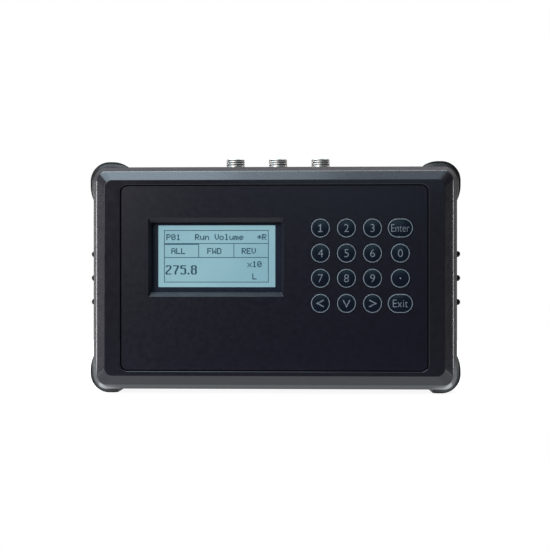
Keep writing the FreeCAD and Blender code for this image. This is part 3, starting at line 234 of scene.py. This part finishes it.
# The paper under the meter: its edges, its own light and its shadow as the camera sees them, and its tone
FLOOR_EDGES = (-0.27, 0.27, -0.06, 0.6)
PAPER_LIGHT = 0.9
PAPER_SHADOW = 0.45
PAPER_DARK = (0.78, 0.78, 0.78)
PAPER_PALE = (0.82, 0.82, 0.82)
PAPER_MOTTLE = 4.0 * MM
PAPER_ROUGHNESS = 0.9

# The paper in mirrors, a painted bluish light: how bright it is before the case, its painted shade under
# it, and painted bright strips at its lower corners.
# A strip fades from its half width to its end, and inwards from the case's side between full and start
MIRROR_TINT = (0.90, 0.96, 1.0)
PAPER_BRIGHT = 1.05
PAINTED_SHADE_IN_MIRRORS = 0.62
SHADE_REACH = 8.0 * MM
PAINTED_STRIP_LIGHT = 2.2
STRIP_PLACE = -5.0 * MM
STRIP_HALF = 2.0 * MM
STRIP_END = 6.0 * MM
STRIP_START = 22.0 * MM
STRIP_FULL = 6.0 * MM


# Meshes


def front_middle(name):
    """The middle of the front of a solid's box."""
    low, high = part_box(name)
    return (low[0] + high[0]) / 2, low[1], (low[2] + high[2]) / 2


def add_piece(name, mesh, material, body):
    """A new piece from a mesh, with a finish, that moves with a body."""
    piece = bpy.data.objects.new(name, mesh)
    bpy.context.scene.collection.objects.link(piece)
    mesh.materials.append(material)
    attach(piece, body)
    return piece


def mesh_piece(name, vertices, faces, material, body):
    """A new piece from points and faces."""
    mesh = bpy.data.meshes.new(name)
    mesh.from_pydata(vertices, [], faces)
    mesh.validate()
    mesh.update()
    return add_piece(name, mesh, material, body)


def finished_mesh(name, made):
    """A mesh from one being edited, its faces turned outwards."""
    bmesh.ops.recalc_face_normals(made, faces=made.faces)
    mesh = bpy.data.meshes.new(name)
    made.to_mesh(mesh)
    made.free()
    return mesh


def smooth_by_angle(mesh):
    """Smooth shading, with sharper edges kept crisp."""
    mesh.shade_smooth()
    mesh.set_sharp_from_angle(angle=SMOOTH_ANGLE)


def block(vertices, faces, low, high):
    """Adds a small closed box between two corners to lists of points and faces."""
    start = len(vertices)
    for x in (low[0], high[0]):
        for y in (low[1], high[1]):
            for z in (low[2], high[2]):
                vertices.append((x, y, z))
    for face in ((0, 1, 3, 2), (4, 6, 7, 5), (0, 4, 5, 1), (2, 3, 7, 6), (0, 2, 6, 4), (1, 5, 7, 3)):
        faces.append(tuple(start + index for index in face))


def wrapped_faces(rows, count):
    """Faces that join rows of points, each round a closed line, into a closed ring."""
    faces = []
    for row in range(rows):
        below = (row + 1) % rows
        for index in range(count):
            after = (index + 1) % count
            corners = ((row, index), (below, index), (below, after), (row, after))
            faces.append(tuple(line * count + turn for line, turn in corners))
    return faces


# Shader nodes, of a material or of the world


def node(owner, kind, **settings):
    """A new shader node, with its settings and its input values by name."""
    made = owner.node_tree.nodes.new(kind)
    for key, value in settings.items():
        if hasattr(made, key):
            setattr(made, key, value)
        else:
            made.inputs[key].default_value = value
    return made


def link(owner, start, end):
    """Joins an output to an input."""
    owner.node_tree.links.new(start, end)


def ranged(owner, value, start, end, low, high):
    """A value brought from one range into another and held at its ends."""
    made = node(owner, "ShaderNodeMapRange")
    for socket, number in (("From Min", start), ("From Max", end), ("To Min", low), ("To Max", high)):
        made.inputs[socket].default_value = number
    link(owner, value, made.inputs["Value"])
    return made.outputs["Result"]


def calculated(owner, operation, *values):
    """The result of a calculation with numbers and with outputs of other nodes."""
    made = node(owner, "ShaderNodeMath", operation=operation)
    for socket, value in zip(made.inputs, values):
        if isinstance(value, float):
            socket.default_value = value
        else:
            link(owner, value, socket)
    return made.outputs["Value"]


def between(owner, value, low, high):
    """One where a value lies between two numbers, and none elsewhere."""
    above = calculated(owner, "GREATER_THAN", value, low)
    return calculated(owner, "MULTIPLY", above, calculated(owner, "LESS_THAN", value, high))


def mirrored_ray(owner, path):
    """One for rays that were mirrored or came through glass, and none for others."""
    return calculated(owner, "MAXIMUM", path["Is Glossy Ray"], path["Is Transmission Ray"])


def places(material):
    """Places on the object in metres."""
    return node(material, "ShaderNodeTexCoord").outputs["Object"]


def place_axes(material):
    """Places on the object in metres, as its X, Y and Z."""
    axes = node(material, "ShaderNodeSeparateXYZ")
    link(material, places(material), axes.inputs["Vector"])
    return axes.outputs


def front_places(material, left=0.0, top=0.0):
    """Places on the object's front in metres, measured right and down from a left edge and a top."""
    quarter = (math.radians(90), 0.0, 0.0)
    turned = node(material, "ShaderNodeMapping", Rotation=quarter, Location=(-left, top, 0.0))
    link(material, places(material), turned.inputs["Vector"])
    return turned.outputs["Vector"]


def noise(material, size, detail=3.0, stretch=EVEN):
    """Noise whose features are about a given size in metres."""
    stretched = node(material, "ShaderNodeMapping", Scale=stretch)
    link(material, places(material), stretched.inputs["Vector"])
    made = node(material, "ShaderNodeTexNoise", Scale=1.0 / size, Detail=detail)
    link(material, stretched.outputs["Vector"], made.inputs["Vector"])
    return made.outputs["Fac"]


def bricks(material, where, colours, width, height, gap, offset):
    """Rows of bricks of two colours, with a third in the gaps."""
    made = node(material, "ShaderNodeTexBrick", Scale=1.0, offset=offset)
    for socket, colour in zip(("Color1", "Color2", "Mortar"), colours):
        made.inputs[socket].default_value = (*colour, 1.0)
    for socket, size in (("Brick Width", width), ("Row Height", height), ("Mortar Size", gap)):
        made.inputs[socket].default_value = size
    link(material, where, made.inputs["Vector"])
    return made.outputs


def mottled(material, factor, dark, light):
    """A colour between a dark and a light one, by the middle part of a noise."""
    made = node(material, "ShaderNodeValToRGB")
    for element, place, colour in zip(made.color_ramp.elements, NOISE_ENDS, (dark, light)):
        element.position = place
        element.color = (*colour, 1.0)
    link(material, factor, made.inputs["Fac"])
    return made.outputs["Color"]


def spread(material, factor, low, high):
    """A number between two others, by the middle part of a noise."""
    return ranged(material, factor, *NOISE_ENDS, low, high)


def bump(material, shader, height, distance):
    """A relief that only the light sees, up to a distance high."""
    made = node(material, "ShaderNodeBump", Strength=1.0, Distance=distance)
    link(material, height, made.inputs["Height"])
    link(material, made.outputs["Normal"], shader.inputs["Normal"])


# Materials


def shader_of(material):
    """The material's own shader."""
    return material.node_tree.nodes["Principled BSDF"]


def principled(name, **constants):
    """A node material whose steady values sit on the shader's own sockets."""
    material = bpy.data.materials.new(name)
    material.use_nodes = True
    shader = shader_of(material)
    for socket, value in constants.items():
        shader.inputs[socket].default_value = value
    return material, shader


def grained(name):
    """A moulded or machined surface: mottled colour, uneven gloss and a fine relief."""
    dark, light, roughness, grain, relief = FINISHES[name]
    stretch = GRAIN_STRETCH.get(name, EVEN)
    material, shader = principled(name)
    cloud = noise(material, grain * MOTTLE_PER_GRAIN, 4.0, stretch)
    fine = noise(material, grain, 2.0, stretch)
    link(material, mottled(material, cloud, dark, light), shader.inputs["Base Color"])
    link(material, spread(material, cloud, *roughness), shader.inputs["Roughness"])
    bump(material, shader, fine, relief)
    return material


def matt_walls(material):
    """Makes the panel matt on the side walls of the display's well."""
    low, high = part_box("display_window")
    panel_low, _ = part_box("front_panel")
    axes = place_axes(material)
    across = between(material, axes["X"], low[0], high[0])
    upright = between(material, axes["Z"], low[2] + WELL_COLLAR, high[2] - WELL_COLLAR)
    behind = calculated(material, "GREATER_THAN", axes["Y"], panel_low[1] + WALL_EDGE)
    walls = calculated(material, "MULTIPLY", behind, calculated(material, "MULTIPLY", across, upright))
    matt = calculated(material, "MULTIPLY", walls, WALL_ROUGHNESS)
    roughness = shader_of(material).inputs["Roughness"]
    satin = roughness.links[0].from_socket
    link(material, calculated(material, "MAXIMUM", satin, matt), roughness)


def board_material():
    """Green solder mask over fine copper runs."""
    material, shader = principled("board_green")
    where = front_places(material)
    runs = bricks(material, where, MASK_COLOURS, RUN_LENGTH, RUN_PITCH, RUN_GAP, RUN_OFFSET)
    cloud = noise(material, MASK_MOTTLE)
    link(material, runs["Color"], shader.inputs["Base Color"])
    link(material, spread(material, cloud, *MASK_ROUGHNESS), shader.inputs["Roughness"])
    bump(material, shader, runs["Fac"], RUN_RELIEF)
    return material


def glass_picture_material():
    """The lit display glass: pale teal, a little darker over the field of unlit dots."""
    material, shader = principled("lcd_glass_teal", Roughness=GLASS_ROUGHNESS)
    shader.inputs["Emission Strength"].default_value = 1.0
    tint = mottled(material, noise(material, GLASS_MOTTLE, 2.0), GLASS_DARK, GLASS_LIGHT)
    left, _, top = field_corner()
    where = front_places(material, left, top)
    gap = DOT_PITCH * (1 - DOT_FILL) / 2
    grid = bricks(material, where, (UNLIT_DOT, UNLIT_DOT, WHITE), DOT_PITCH, DOT_PITCH, gap, 0.0)
    axes = place_axes(material)
    across = between(material, axes["X"], left, left + DOT_COLUMNS * DOT_PITCH)
    upright = between(material, axes["Z"], top - DOT_ROWS * DOT_PITCH, top)
    mixed = node(material, "ShaderNodeMix", data_type="RGBA", blend_type="MULTIPLY")
    link(material, calculated(material, "MULTIPLY", across, upright), mixed.inputs["Factor"])
    link(material, tint, mixed.inputs["A"])
    link(material, grid["Color"], mixed.inputs["B"])
    link(material, mixed.outputs["Result"], shader.inputs["Base Color"])
    link(material, mixed.outputs["Result"], shader.inputs["Emission Color"])
    return material


def lens_material():
    """A clear moulded window: mostly see-through, with a soft gloss."""
    material, shader = principled("lens_clear", Alpha=WINDOW_ALPHA)
    tint = mottled(material, noise(material, WINDOW_MOTTLE), WINDOW_DARK, WINDOW_LIGHT)
    gloss = spread(material, noise(material, WINDOW_SMEAR), *WINDOW_ROUGHNESS)
    link(material, tint, shader.inputs["Base Color"])
    link(material, gloss, shader.inputs["Roughness"])
    return material


def make_materials():
    """Every finish by its slot's name, and those of the key prints and the display's dots."""
    materials = {name: grained(name) for name in FINISHES}
    for name in METALS:
        shader_of(materials[name]).inputs["Metallic"].default_value = 1.0
    for name, level in LESS_GLOSS.items():
        shader_of(materials[name]).inputs["Specular IOR Level"].default_value = level
    matt_walls(materials["panel_plastic"])
    materials["board_green"] = board_material()
    materials["lcd_glass_teal"] = glass_picture_material()
    materials["lens_clear"] = lens_material()
    return materials


def dress_solids(materials):
    """Gives each solid the finish of its slot."""
    slots = {entry["node"]: entry["material_slot"] for entry in frame["record"]["subparts"]}
    for name, solid in frame["nodes"].items():
        solid.data.materials.clear()
        solid.data.materials.append(materials[slots[name]])


# Key prints


def key_cap(name):
    """The radius of a key's cap and how far the cap is stretched across."""
    low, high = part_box("key_" + name)
    height = high[2] - low[2]
    return height / 2 - KEY_FLANGE, high[0] - low[0] - height


def on_dome(front, x, z, lift):
    """The point of a key's dome at a place across and up from its middle, lifted off the surface."""
    fall = KEY_DOME_RADIUS - math.sqrt(KEY_DOME_RADIUS ** 2 - x ** 2 - z ** 2)
    return (front[0] + x, front[1] + fall - lift, front[2] + z)


def stadium(radius, stretch):
    """Points round an outline with half-round ends, and in steps along its straight runs."""
    half = stretch / 2
    side = []
    for index in range(RING_STEPS):
        angle = math.pi * (index + 0.5) / RING_STEPS - math.pi / 2
        side.append((half + radius * math.cos(angle), radius * math.sin(angle)))
    if stretch > MM:
        side += [(half - stretch * index / RING_RUN_STEPS, radius) for index in range(1, RING_RUN_STEPS)]
    return side + [(-x, -z) for x, z in side]


def ring(front, radius, stretch):
    """A thin raised line round a key's edge, as points and faces."""
    lines = []
    for across, rise in RING_SECTION:
        line = stadium(radius - RING_INSET - RING_WIDTH * across, stretch)
        lines.append([on_dome(front, x, z, RING_RISE * rise) for x, z in line])
    return sum(lines, []), wrapped_faces(len(lines), len(lines[0]))


def word_mesh(text):
    """A flat word of lettering, filled on both sides and scaled to its size, its middle at the origin."""
    curve = bpy.data.curves.new("lettering", "FONT")
    curve.body = text
    curve.resolution_u = LETTER_STEPS
    curve.extrude = LETTER_DEPTH
    curve.offset = LETTER_OFFSET
    lettering = bpy.data.objects.new("lettering", curve)
    bpy.context.scene.collection.objects.link(lettering)
    bpy.context.view_layer.update()
    mesh = bpy.data.meshes.new_from_object(lettering.evaluated_get(bpy.context.evaluated_depsgraph_get()))
    bpy.data.objects.remove(lettering)
    bpy.data.curves.remove(curve)
    xs = [vertex.co.x for vertex in mesh.vertices]
    ys = [vertex.co.y for vertex in mesh.vertices]
    middle_x = (max(xs) + min(xs)) / 2
    middle_y = (max(ys) + min(ys)) / 2
    height = WORD_HEIGHT if text in WORD_WIDTHS else DIGIT_HEIGHT
    tall = height / (max(ys) - min(ys))
    wide = WORD_WIDTHS[text] / (max(xs) - min(xs)) if text in WORD_WIDTHS else tall
    for vertex in mesh.vertices:
        vertex.co.x = (vertex.co.x - middle_x) * wide
        vertex.co.y = (vertex.co.y - middle_y) * tall
    return mesh


def outline_mesh(outline):
    """A plate from an outline. Its depth only tells its front from its back."""
    made = bmesh.new()
    front = [made.verts.new((x, y, 1.0)) for x, y in outline]
    back = [made.verts.new((x, y, -1.0)) for x, y in outline]
    made.faces.new(front)
    made.faces.new(back[::-1])
    for index in range(len(outline)):
        after = (index + 1) % len(outline)
        made.faces.new((front[index], back[index], back[after], front[after]))
    return finished_mesh("plate", made)


def stroke_mesh(points, width):
    """A bent stroke of even width through three points, filled on both sides, its corner mitred."""
    start, bend, end = [Vector(point) for point in points]
    half = width / 2
    first, last = [Vector((-way.y, way.x)).normalized() for way in (bend - start, end - bend)]
    mitre = (first + last).normalized()
    mitre *= half / mitre.dot(first)
    aside = ((start, first * half), (bend, mitre), (end, last * half))
    left = [point + step for point, step in aside]
    right = [point - step for point, step in aside]
    return outline_mesh(left + right[::-1])


def legend_mesh(legend):
    """A key's sign: an arrow head, a point or lettering."""
    reach = CHEVRON_REACH
    arrows = {
        "chevron_left": ((reach, reach), (-reach, 0.0), (reach, -reach)),
        "chevron_right": ((-reach, -reach), (reach, 0.0), (-reach, reach)),
        "chevron_down": ((-reach, reach), (0.0, -reach), (reach, reach)),
    }
    if legend in arrows:
        return stroke_mesh(arrows[legend], CHEVRON_STROKE)
    if legend == "1":
        return outline_mesh([(DIGIT_HEIGHT * x, DIGIT_HEIGHT * z) for x, z in FIGURE_ONE])
    if legend == "dot":
        turns = [math.tau * index / RING_STEPS for index in range(RING_STEPS)]
        return outline_mesh([(POINT_RADIUS * math.cos(t), POINT_RADIUS * math.sin(t)) for t in turns])
    return word_mesh(legend)


def key_print(name, legend, material):
    """The ring and the sign on a key, laid on its dome and moving with it."""
    front = front_middle("key_" + name)
    made = bmesh.new()
    sign = legend_mesh(legend)
    made.from_mesh(sign)
    bpy.data.meshes.remove(sign)
    bmesh.ops.triangulate(made, faces=made.faces)
    long_edges = [edge for edge in made.edges if edge.calc_length() > PRINT_STEP]
    bmesh.ops.subdivide_edges(made, edges=long_edges, cuts=PRINT_CUTS)
    for vertex in made.verts:
        lift = PRINT_LIFT if vertex.co.z > 0 else -PRINT_LIFT
        vertex.co = on_dome(front, vertex.co.x, vertex.co.y, lift)
    vertices, faces = ring(front, *key_cap(name))
    corners = [made.verts.new(point) for point in vertices]
    for face in faces:
        made.faces.new([corners[index] for index in face])
    bmesh.ops.remove_doubles(made, verts=made.verts, dist=PRINT_MERGE)
    mesh = finished_mesh("print_" + name, made)
    add_piece("print_" + name, mesh, material, name + "_key")


# Snap domes


def snap_profile(height):
    """A dome's section as radius and rise: out along its back from the middle, and in along its front."""
    ball = (SNAP_RADIUS ** 2 + height ** 2) / (2 * height)
    profile = []
    for radius, way in ((ball - SNAP_SHEET, 1), (ball, -1)):
        edge = math.acos((ball - height) / radius)
        turns = [edge * index / SNAP_STEPS for index in range(SNAP_STEPS + 1)]
        arc = [(radius * math.sin(turn), height - ball + radius * math.cos(turn)) for turn in turns]
        profile += arc[::way]
    return profile


def snap_mesh(name, x, base, z, height):
    """A dome's sheet turned round its middle, one point where the profile meets the axis."""
    made = bmesh.new()
    rows = []
    for reach, rise in snap_profile(height):
        row = []
        for index in range(SNAP_TURNS if reach > 0 else 1):
            angle = math.tau * index / SNAP_TURNS
            point = (x + reach * math.cos(angle), base - rise, z + reach * math.sin(angle))
            row.append(made.verts.new(point))
        rows.append(row)
    for row, after in zip(rows, rows[1:]):
        for index in range(SNAP_TURNS):
            around = ((row, index), (row, index + 1), (after, index + 1), (after, index))
            corners = [line[turn % len(line)] for line, turn in around]
            made.faces.new(list(dict.fromkeys(corners)))
    return finished_mesh(name, made)


def snap_dome(name, material):
    """The sprung metal dome under a key, in its resting shape and fixed to the meter; the real dome
    flattens against its board as the key goes in.
    """
    low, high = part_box("key_domes")
    base = high[1]
    height = base - low[1]
    x, _, z = front_middle("key_" + name)
    mesh = snap_mesh("snap_dome_" + name, x, base, z, height)
    piece = add_piece("snap_dome_" + name, mesh, material, "meter")
    smooth_by_angle(mesh)
    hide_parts("key_domes")
    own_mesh(piece)


# The display's picture


SMALL_LETTERS = {
    "0": (".###.", "#...#", "#..##", "#.#.#", "##..#", "#...#", ".###."),
    "1": ("..#..", ".##..", "..#..", "..#..", "..#..", "..#..", ".###."),
    "A": (".###.", "#...#", "#...#", "#####", "#...#", "#...#", "#...#"),
    "D": ("####.", "#...#", "#...#", "#...#", "#...#", "#...#", "####."),
    "E": ("#####", "#....", "#....", "####.", "#....", "#....", "#####"),
    "F": ("#####", "#....", "#....", "####.", "#....", "#....", "#...."),
    "L": ("#....", "#....", "#....", "#....", "#....", "#....", "#####"),
    "P": ("####.", "#...#", "#...#", "####.", "#....", "#....", "#...."),
    "R": ("####.", "#...#", "#...#", "####.", "#.#..", "#..#.", "#...#"),
    "V": ("#...#", "#...#", "#...#", "#...#", "#...#", ".#.#.", "..#.."),
    "W": ("#...#", "#...#", "#...#", "#.#.#", "#.#.#", "##.##", "#...#"),
    "e": (".....", ".....", ".###.", "#...#", "#####", "#....", ".###."),
    "l": (".##..", "..#..", "..#..", "..#..", "..#..", "..#..", ".###."),
    "m": (".....", ".....", "##.#.", "#.#.#", "#.#.#", "#.#.#", "#.#.#"),
    "n": (".....", ".....", "#.##.", "##..#", "#...#", "#...#", "#...#"),
    "o": (".....", ".....", ".###.", "#...#", "#...#", "#...#", ".###."),
    "u": (".....", ".....", "#...#", "#...#", "#...#", "#..##", ".##.#"),
    "x": (".....", ".....", "#...#", ".#.#.", "..#..", ".#.#.", "#...#"),
    "*": (".....", "..#..", "#.#.#", ".###.", "#.#.#", "..#..", "....."),
    " ": (".....",) * 7,
}
LARGE_DIGITS = {
    "2": (
        ".#####.", "##...##", ".....##", ".....##", "....##.", "...##..",
        "..##...", ".##....", "##.....", "##.....", "#######",
    ),
    "5": (
        "#######", "##.....", "##.....", "######.", ".....##", ".....##",
        ".....##", ".....##", ".....##", "##...##", ".#####.",
    ),
    "7": (
        "#######", ".....##", ".....##", "....##.", "....##.", "...##..",
        "...##..", "..##...", "..##...", "..##...", "..##...",
    ),
    "8": (
        ".#####.", "##...##", "##...##", "##...##", ".#####.", "##...##",
        "##...##", "##...##", "##...##", "##...##", ".#####.",
    ),
    ".": ("..",) * 9 + ("##", "##"),
}

# Letters, and the empty columns after each
SMALL = (SMALL_LETTERS, 1)
LARGE = (LARGE_DIGITS, 2)

# Lines of text: what they say, their letters, and the column and row of their upper left dot
PICTURE_TEXT = (
    ("P01", SMALL, 3, 5),
    ("Run Volume", SMALL, 38, 5),
    ("*R", SMALL, 114, 5),
    ("ALL", SMALL, 9, 22),
    ("FWD", SMALL, 53, 22),
    ("REV", SMALL, 95, 22),
    ("275.8", LARGE, 2, 43),
    ("x10", SMALL, 102, 38),
    ("L", SMALL, 108, 53),
)


def picture_dots():
    """The dots of the picture's lines of text, as column and row."""
    dots = []
    for text, (letters, gap), column, row in PICTURE_TEXT:
        for letter in text:
            for down, line in enumerate(letters[letter]):
                dots += [(column + across, row + down) for across, dot in enumerate(line) if dot == "#"]
            column += len(letters[letter][0]) + gap
    return dots


def picture_bars():
    """The picture's rules, as first and last dots: a frame, a header, three tabs, a mark on the first."""
    right = DOT_COLUMNS - 1
    bottom = DOT_ROWS - 1
    bars = [
        (0, 0, right, 0),
        (0, bottom, right, bottom),
        (0, 1, 0, bottom - 1),
        (right, 1, right, bottom - 1),
        (TAB_DIVIDERS[0], HEADER_LINE, right - 1, HEADER_LINE),
        (1, TAB_LINE, right - 1, TAB_LINE),
        (1, HEADER_LINE, TAB_DIVIDERS[0] - 1, HEADER_LINE + TAB_MARK_ROWS - 1),
    ]
    bars += [(column, HEADER_LINE + 1, column, TAB_LINE - 1) for column in TAB_DIVIDERS]
    return bars


def field_corner():
    """The upper left corner of the field of dots, on the front of the glass."""
    x, front, z = front_middle("lcd_glass")
    return x + DOT_SHIFT - DOT_COLUMNS * DOT_PITCH / 2, front, z + DOT_ROWS * DOT_PITCH / 2


def display_picture(material):
    """The dark rules and dots on the display's glass, the dots over a painted shadow of them that lies a
    little aside.
    """
    left, front, top = field_corner()
    dots = [(column, row, column, row) for column, row in picture_dots()]
    layers = (
        (picture_bars(), RULE_FILL, 0.0, 0),
        # The dots again, one layer back and shifted aside in the same ink: a painted shadow of the dots
        (dots, DOT_FILL, PAINTED_DOT_SHADOW_SHIFT, 0),
        (dots, DOT_FILL, 0.0, 1),
    )
    vertices = []
    faces = []
    for marks, fill, aside, layer in layers:
        margin = (1 - fill) / 2
        back = front - layer * DOT_LAYER
        for first_column, first_row, last_column, last_row in marks:
            low_x = left + (first_column + aside + margin) * DOT_PITCH
            high_x = left + (last_column + aside + 1 - margin) * DOT_PITCH
            low_z = top - (last_row + aside + 1 - margin) * DOT_PITCH
            high_z = top - (first_row + aside + margin) * DOT_PITCH
            block(vertices, faces, (low_x, back - DOT_THICKNESS, low_z), (high_x, back, high_z))
    mesh_piece("display_picture", vertices, faces, material, "meter")


# Sockets


def socket_profile(low, rim, flange_radius):
    """A socket's closed section as radius, height and share of the thread's depth."""
    flange_top = rim - THREAD_LENGTH
    flange_bottom = flange_top - FLANGE_HEIGHT
    edge = SOCKET_EDGE
    profile = [
        (MOUTH_RADIUS + edge, rim, 0.0),
        (THREAD_RADIUS - RIM_CHAMFER, rim, 0.0),
    ]
    step = THREAD_PITCH / THREAD_STEPS
    lead = THREAD_PITCH / 2
    count = round((THREAD_LENGTH - RIM_CHAMFER) / step)
    for index in range(count + 1):
        height = rim - RIM_CHAMFER - index * step
        fade = min(1.0, (rim - height) / lead, (height - flange_top) / lead)
        profile.append((THREAD_RADIUS, height, max(0.0, fade)))
    profile += [
        (flange_radius - edge, flange_top, 0.0),
        (flange_radius, flange_top - edge, 0.0),
        (flange_radius, flange_bottom + edge, 0.0),
        (flange_radius - edge, flange_bottom, 0.0),
        (NECK_RADIUS, flange_bottom, 0.0),
        (NECK_RADIUS, low, 0.0),
        (BORE_RADIUS, low, 0.0),
        (BORE_RADIUS, rim - MOUTH_DEPTH, 0.0),
        (MOUTH_RADIUS, rim - MOUTH_DEPTH, 0.0),
        (MOUTH_RADIUS, rim - edge, 0.0),
    ]
    return profile


def thread_cut(height, turn):
    """How deep the thread is at a height and a part of a turn, from 0 on its crest to 1 at its root."""
    phase = (height / THREAD_PITCH - turn) % 1.0
    return min(1.0, max(0.0, (abs(2 * phase - 1) - THREAD_FLAT) / (1 - 2 * THREAD_FLAT)))


def threaded_socket(name, material):
    """A plated socket shell with a real thread round its mouth."""
    shell = name + "_socket_shell"
    low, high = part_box(shell)
    x = (low[0] + high[0]) / 2
    y = (low[1] + high[1]) / 2
    profile = socket_profile(low[2], high[2], (high[0] - low[0]) / 2)
    vertices = []
    for radius, height, share in profile:
        for index in range(SOCKET_STEPS):
            turn = index / SOCKET_STEPS
            reach = radius - share * THREAD_DEPTH * thread_cut(height, turn)
            angle = math.tau * turn
            vertices.append((x + reach * math.cos(angle), y + reach * math.sin(angle), height))
    faces = wrapped_faces(len(profile), SOCKET_STEPS)
    piece = mesh_piece(shell + "_threaded", vertices, faces, material, "meter")
    smooth_by_angle(piece.data)
    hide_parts(shell)


# Studio


def studio_world():
    """Glows behind the object and at its sides, dim towards the reader. The camera sees white."""
    world = bpy.data.worlds.new("studio")
    bpy.context.scene.world = world
    world.use_nodes = True
    way = node(world, "ShaderNodeTexCoord").outputs["Generated"]
    brightest = 0.0
    for aim, start, end, strength in GLOWS:
        towards = node(world, "ShaderNodeVectorMath", operation="DOT_PRODUCT")
        towards.inputs[1].default_value = aim
        link(world, way, towards.inputs[0])
        glow = ranged(world, towards.outputs["Value"], start, end, 0.0, strength)
        brightest = calculated(world, "MAXIMUM", glow, brightest)
    level = ranged(world, brightest, 0.0, 1.0, WORLD_DIM, 1.0)
    path = node(world, "ShaderNodeLightPath").outputs
    share = ranged(world, mirrored_ray(world, path), 0.0, 1.0, WORLD_BOUNCED, 1.0)
    lit = calculated(world, "MULTIPLY", level, share)
    background = world.node_tree.nodes["Background"]
    background.inputs["Color"].default_value = (*WHITE, 1.0)
    link(world, calculated(world, "MAXIMUM", lit, path["Is Camera Ray"]), background.inputs["Strength"])


def painted_paper_in_mirrors(material):
    """How bright the paper looks in mirrors, by its place: painted shade under the case and painted bright
    strips by its lower corners.
    """
    low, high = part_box("rear_housing")
    axes = place_axes(material)
    # Painted shade: in mirrors the paper is dimmer under the case than before it
    before = ranged(material, axes["Y"], low[1] - SHADE_REACH, low[1], PAPER_BRIGHT, PAINTED_SHADE_IN_MIRRORS)
    # Painted bright strips beside the case's lower corners, seen only in mirrors, where no lamp is
    across = calculated(material, "ABSOLUTE", axes["X"])
    beside = ranged(material, across, high[0] - STRIP_START, high[0] - STRIP_FULL, 0.0, 1.0)
    away = calculated(material, "ABSOLUTE", calculated(material, "SUBTRACT", axes["Y"], STRIP_PLACE))
    strip = ranged(material, away, STRIP_HALF, STRIP_END, PAINTED_STRIP_LIGHT, 0.0)
    return calculated(material, "MAXIMUM", before, calculated(material, "MULTIPLY", strip, beside))


def floor_material():
    """White paper: plain to bounced light, white with a soft shadow to the camera, and a painted bluish
    light in mirrors, with painted shade and painted bright strips.
    """
    material, paper = principled("floor_paper", Roughness=PAPER_ROUGHNESS)
    tone = mottled(material, noise(material, PAPER_MOTTLE), PAPER_DARK, PAPER_PALE)
    link(material, tone, paper.inputs["Base Color"])
    light = node(material, "ShaderNodeEmission", Strength=PAPER_LIGHT)
    shadow = node(material, "ShaderNodeBsdfDiffuse", Color=(PAPER_SHADOW, PAPER_SHADOW, PAPER_SHADOW, 1.0))
    seen = node(material, "ShaderNodeAddShader")
    link(material, light.outputs["Emission"], seen.inputs[0])
    link(material, shadow.outputs["BSDF"], seen.inputs[1])
    mirrored = node(material, "ShaderNodeEmission", Color=(*MIRROR_TINT, 1.0))
    link(material, painted_paper_in_mirrors(material), mirrored.inputs["Strength"])
    path = node(material, "ShaderNodeLightPath").outputs
    surface = paper.outputs["BSDF"]
    for ray, shader in ((path["Is Camera Ray"], seen), (mirrored_ray(material, path), mirrored)):
        mixed = node(material, "ShaderNodeMixShader")
        link(material, ray, mixed.inputs["Fac"])
        link(material, surface, mixed.inputs[1])
        link(material, shader.outputs[0], mixed.inputs[2])
        surface = mixed.outputs["Shader"]
    link(material, surface, material.node_tree.nodes["Material Output"].inputs["Surface"])
    return material


def floor():
    """A sheet of paper under the meter and behind it."""
    left, right, front, back = FLOOR_EDGES
    corners = [(left, front, 0), (right, front, 0), (right, back, 0), (left, back, 0)]
    mesh = bpy.data.meshes.new("floor")
    mesh.from_pydata(corners, [], [(0, 1, 2, 3)])
    mesh.materials.append(floor_material())
    plane = bpy.data.objects.new("floor", mesh)
    bpy.context.scene.collection.objects.link(plane)


def softbox(name, target, place, width, height, power, colour):
    """A soft rectangular lamp turned towards a point."""
    lamp = bpy.data.lights.new(name, "AREA")
    lamp.shape = "RECTANGLE"
    lamp.size = width
    lamp.size_y = height
    lamp.energy = power
    lamp.color = colour
    holder = bpy.data.objects.new(name, lamp)
    holder.location = place
    holder.rotation_euler = (Vector(target) - Vector(place)).to_track_quat("-Z", "Y").to_euler()
    bpy.context.scene.collection.objects.link(holder)


def lamps(middle):
    """Soft lamps that look straight down, and others turned to the meter."""
    for name, lamp in LAMPS_LOOKING_DOWN.items():
        x, y, _ = lamp[0]
        softbox(name, (x, y, 0.0), *lamp)
    for name, lamp in LAMPS_AT_METER.items():
        softbox(name, middle, *lamp)


def camera(middle):
    """Looks at the front of the meter from a little to its right, at the height of its middle."""
    lens = bpy.data.cameras.new("camera")
    lens.lens = CAMERA_LENS
    lens.sensor_width = CAMERA_SENSOR
    lens.shift_x = (IMAGE_SIZE / 2 - OBJECT_AT_PIXEL[0]) / IMAGE_SIZE
    lens.shift_y = (OBJECT_AT_PIXEL[1] - IMAGE_SIZE / 2) / IMAGE_SIZE
    lens.clip_start = CAMERA_NEAR
    holder = bpy.data.objects.new("camera", lens)
    away = Vector((math.sin(CAMERA_AZIMUTH), -math.cos(CAMERA_AZIMUTH), 0.0))
    holder.location = Vector(middle) + away * CAMERA_DISTANCE
    holder.rotation_euler = (-away).to_track_quat("-Z", "Y").to_euler()
    bpy.context.scene.collection.objects.link(holder)
    bpy.context.scene.camera = holder


def main():
    """Dresses the solids, adds the pieces that the solids leave to the scene, and sets up the studio."""
    materials = make_materials()
    dress_solids(materials)
    for name, legend in KEY_LEGENDS.items():
        key_print(name, legend, materials["key_print"])
        snap_dome(name, materials["screw_steel"])
    display_picture(materials["dot_ink"])
    for name in SOCKETS:
        threaded_socket(name, materials["socket_nickel"])
    middle = front_middle("front_bezel")
    studio_world()
    floor()
    lamps(middle)
    camera(middle)
    bpy.context.scene.view_settings.view_transform = "Standard"


main()
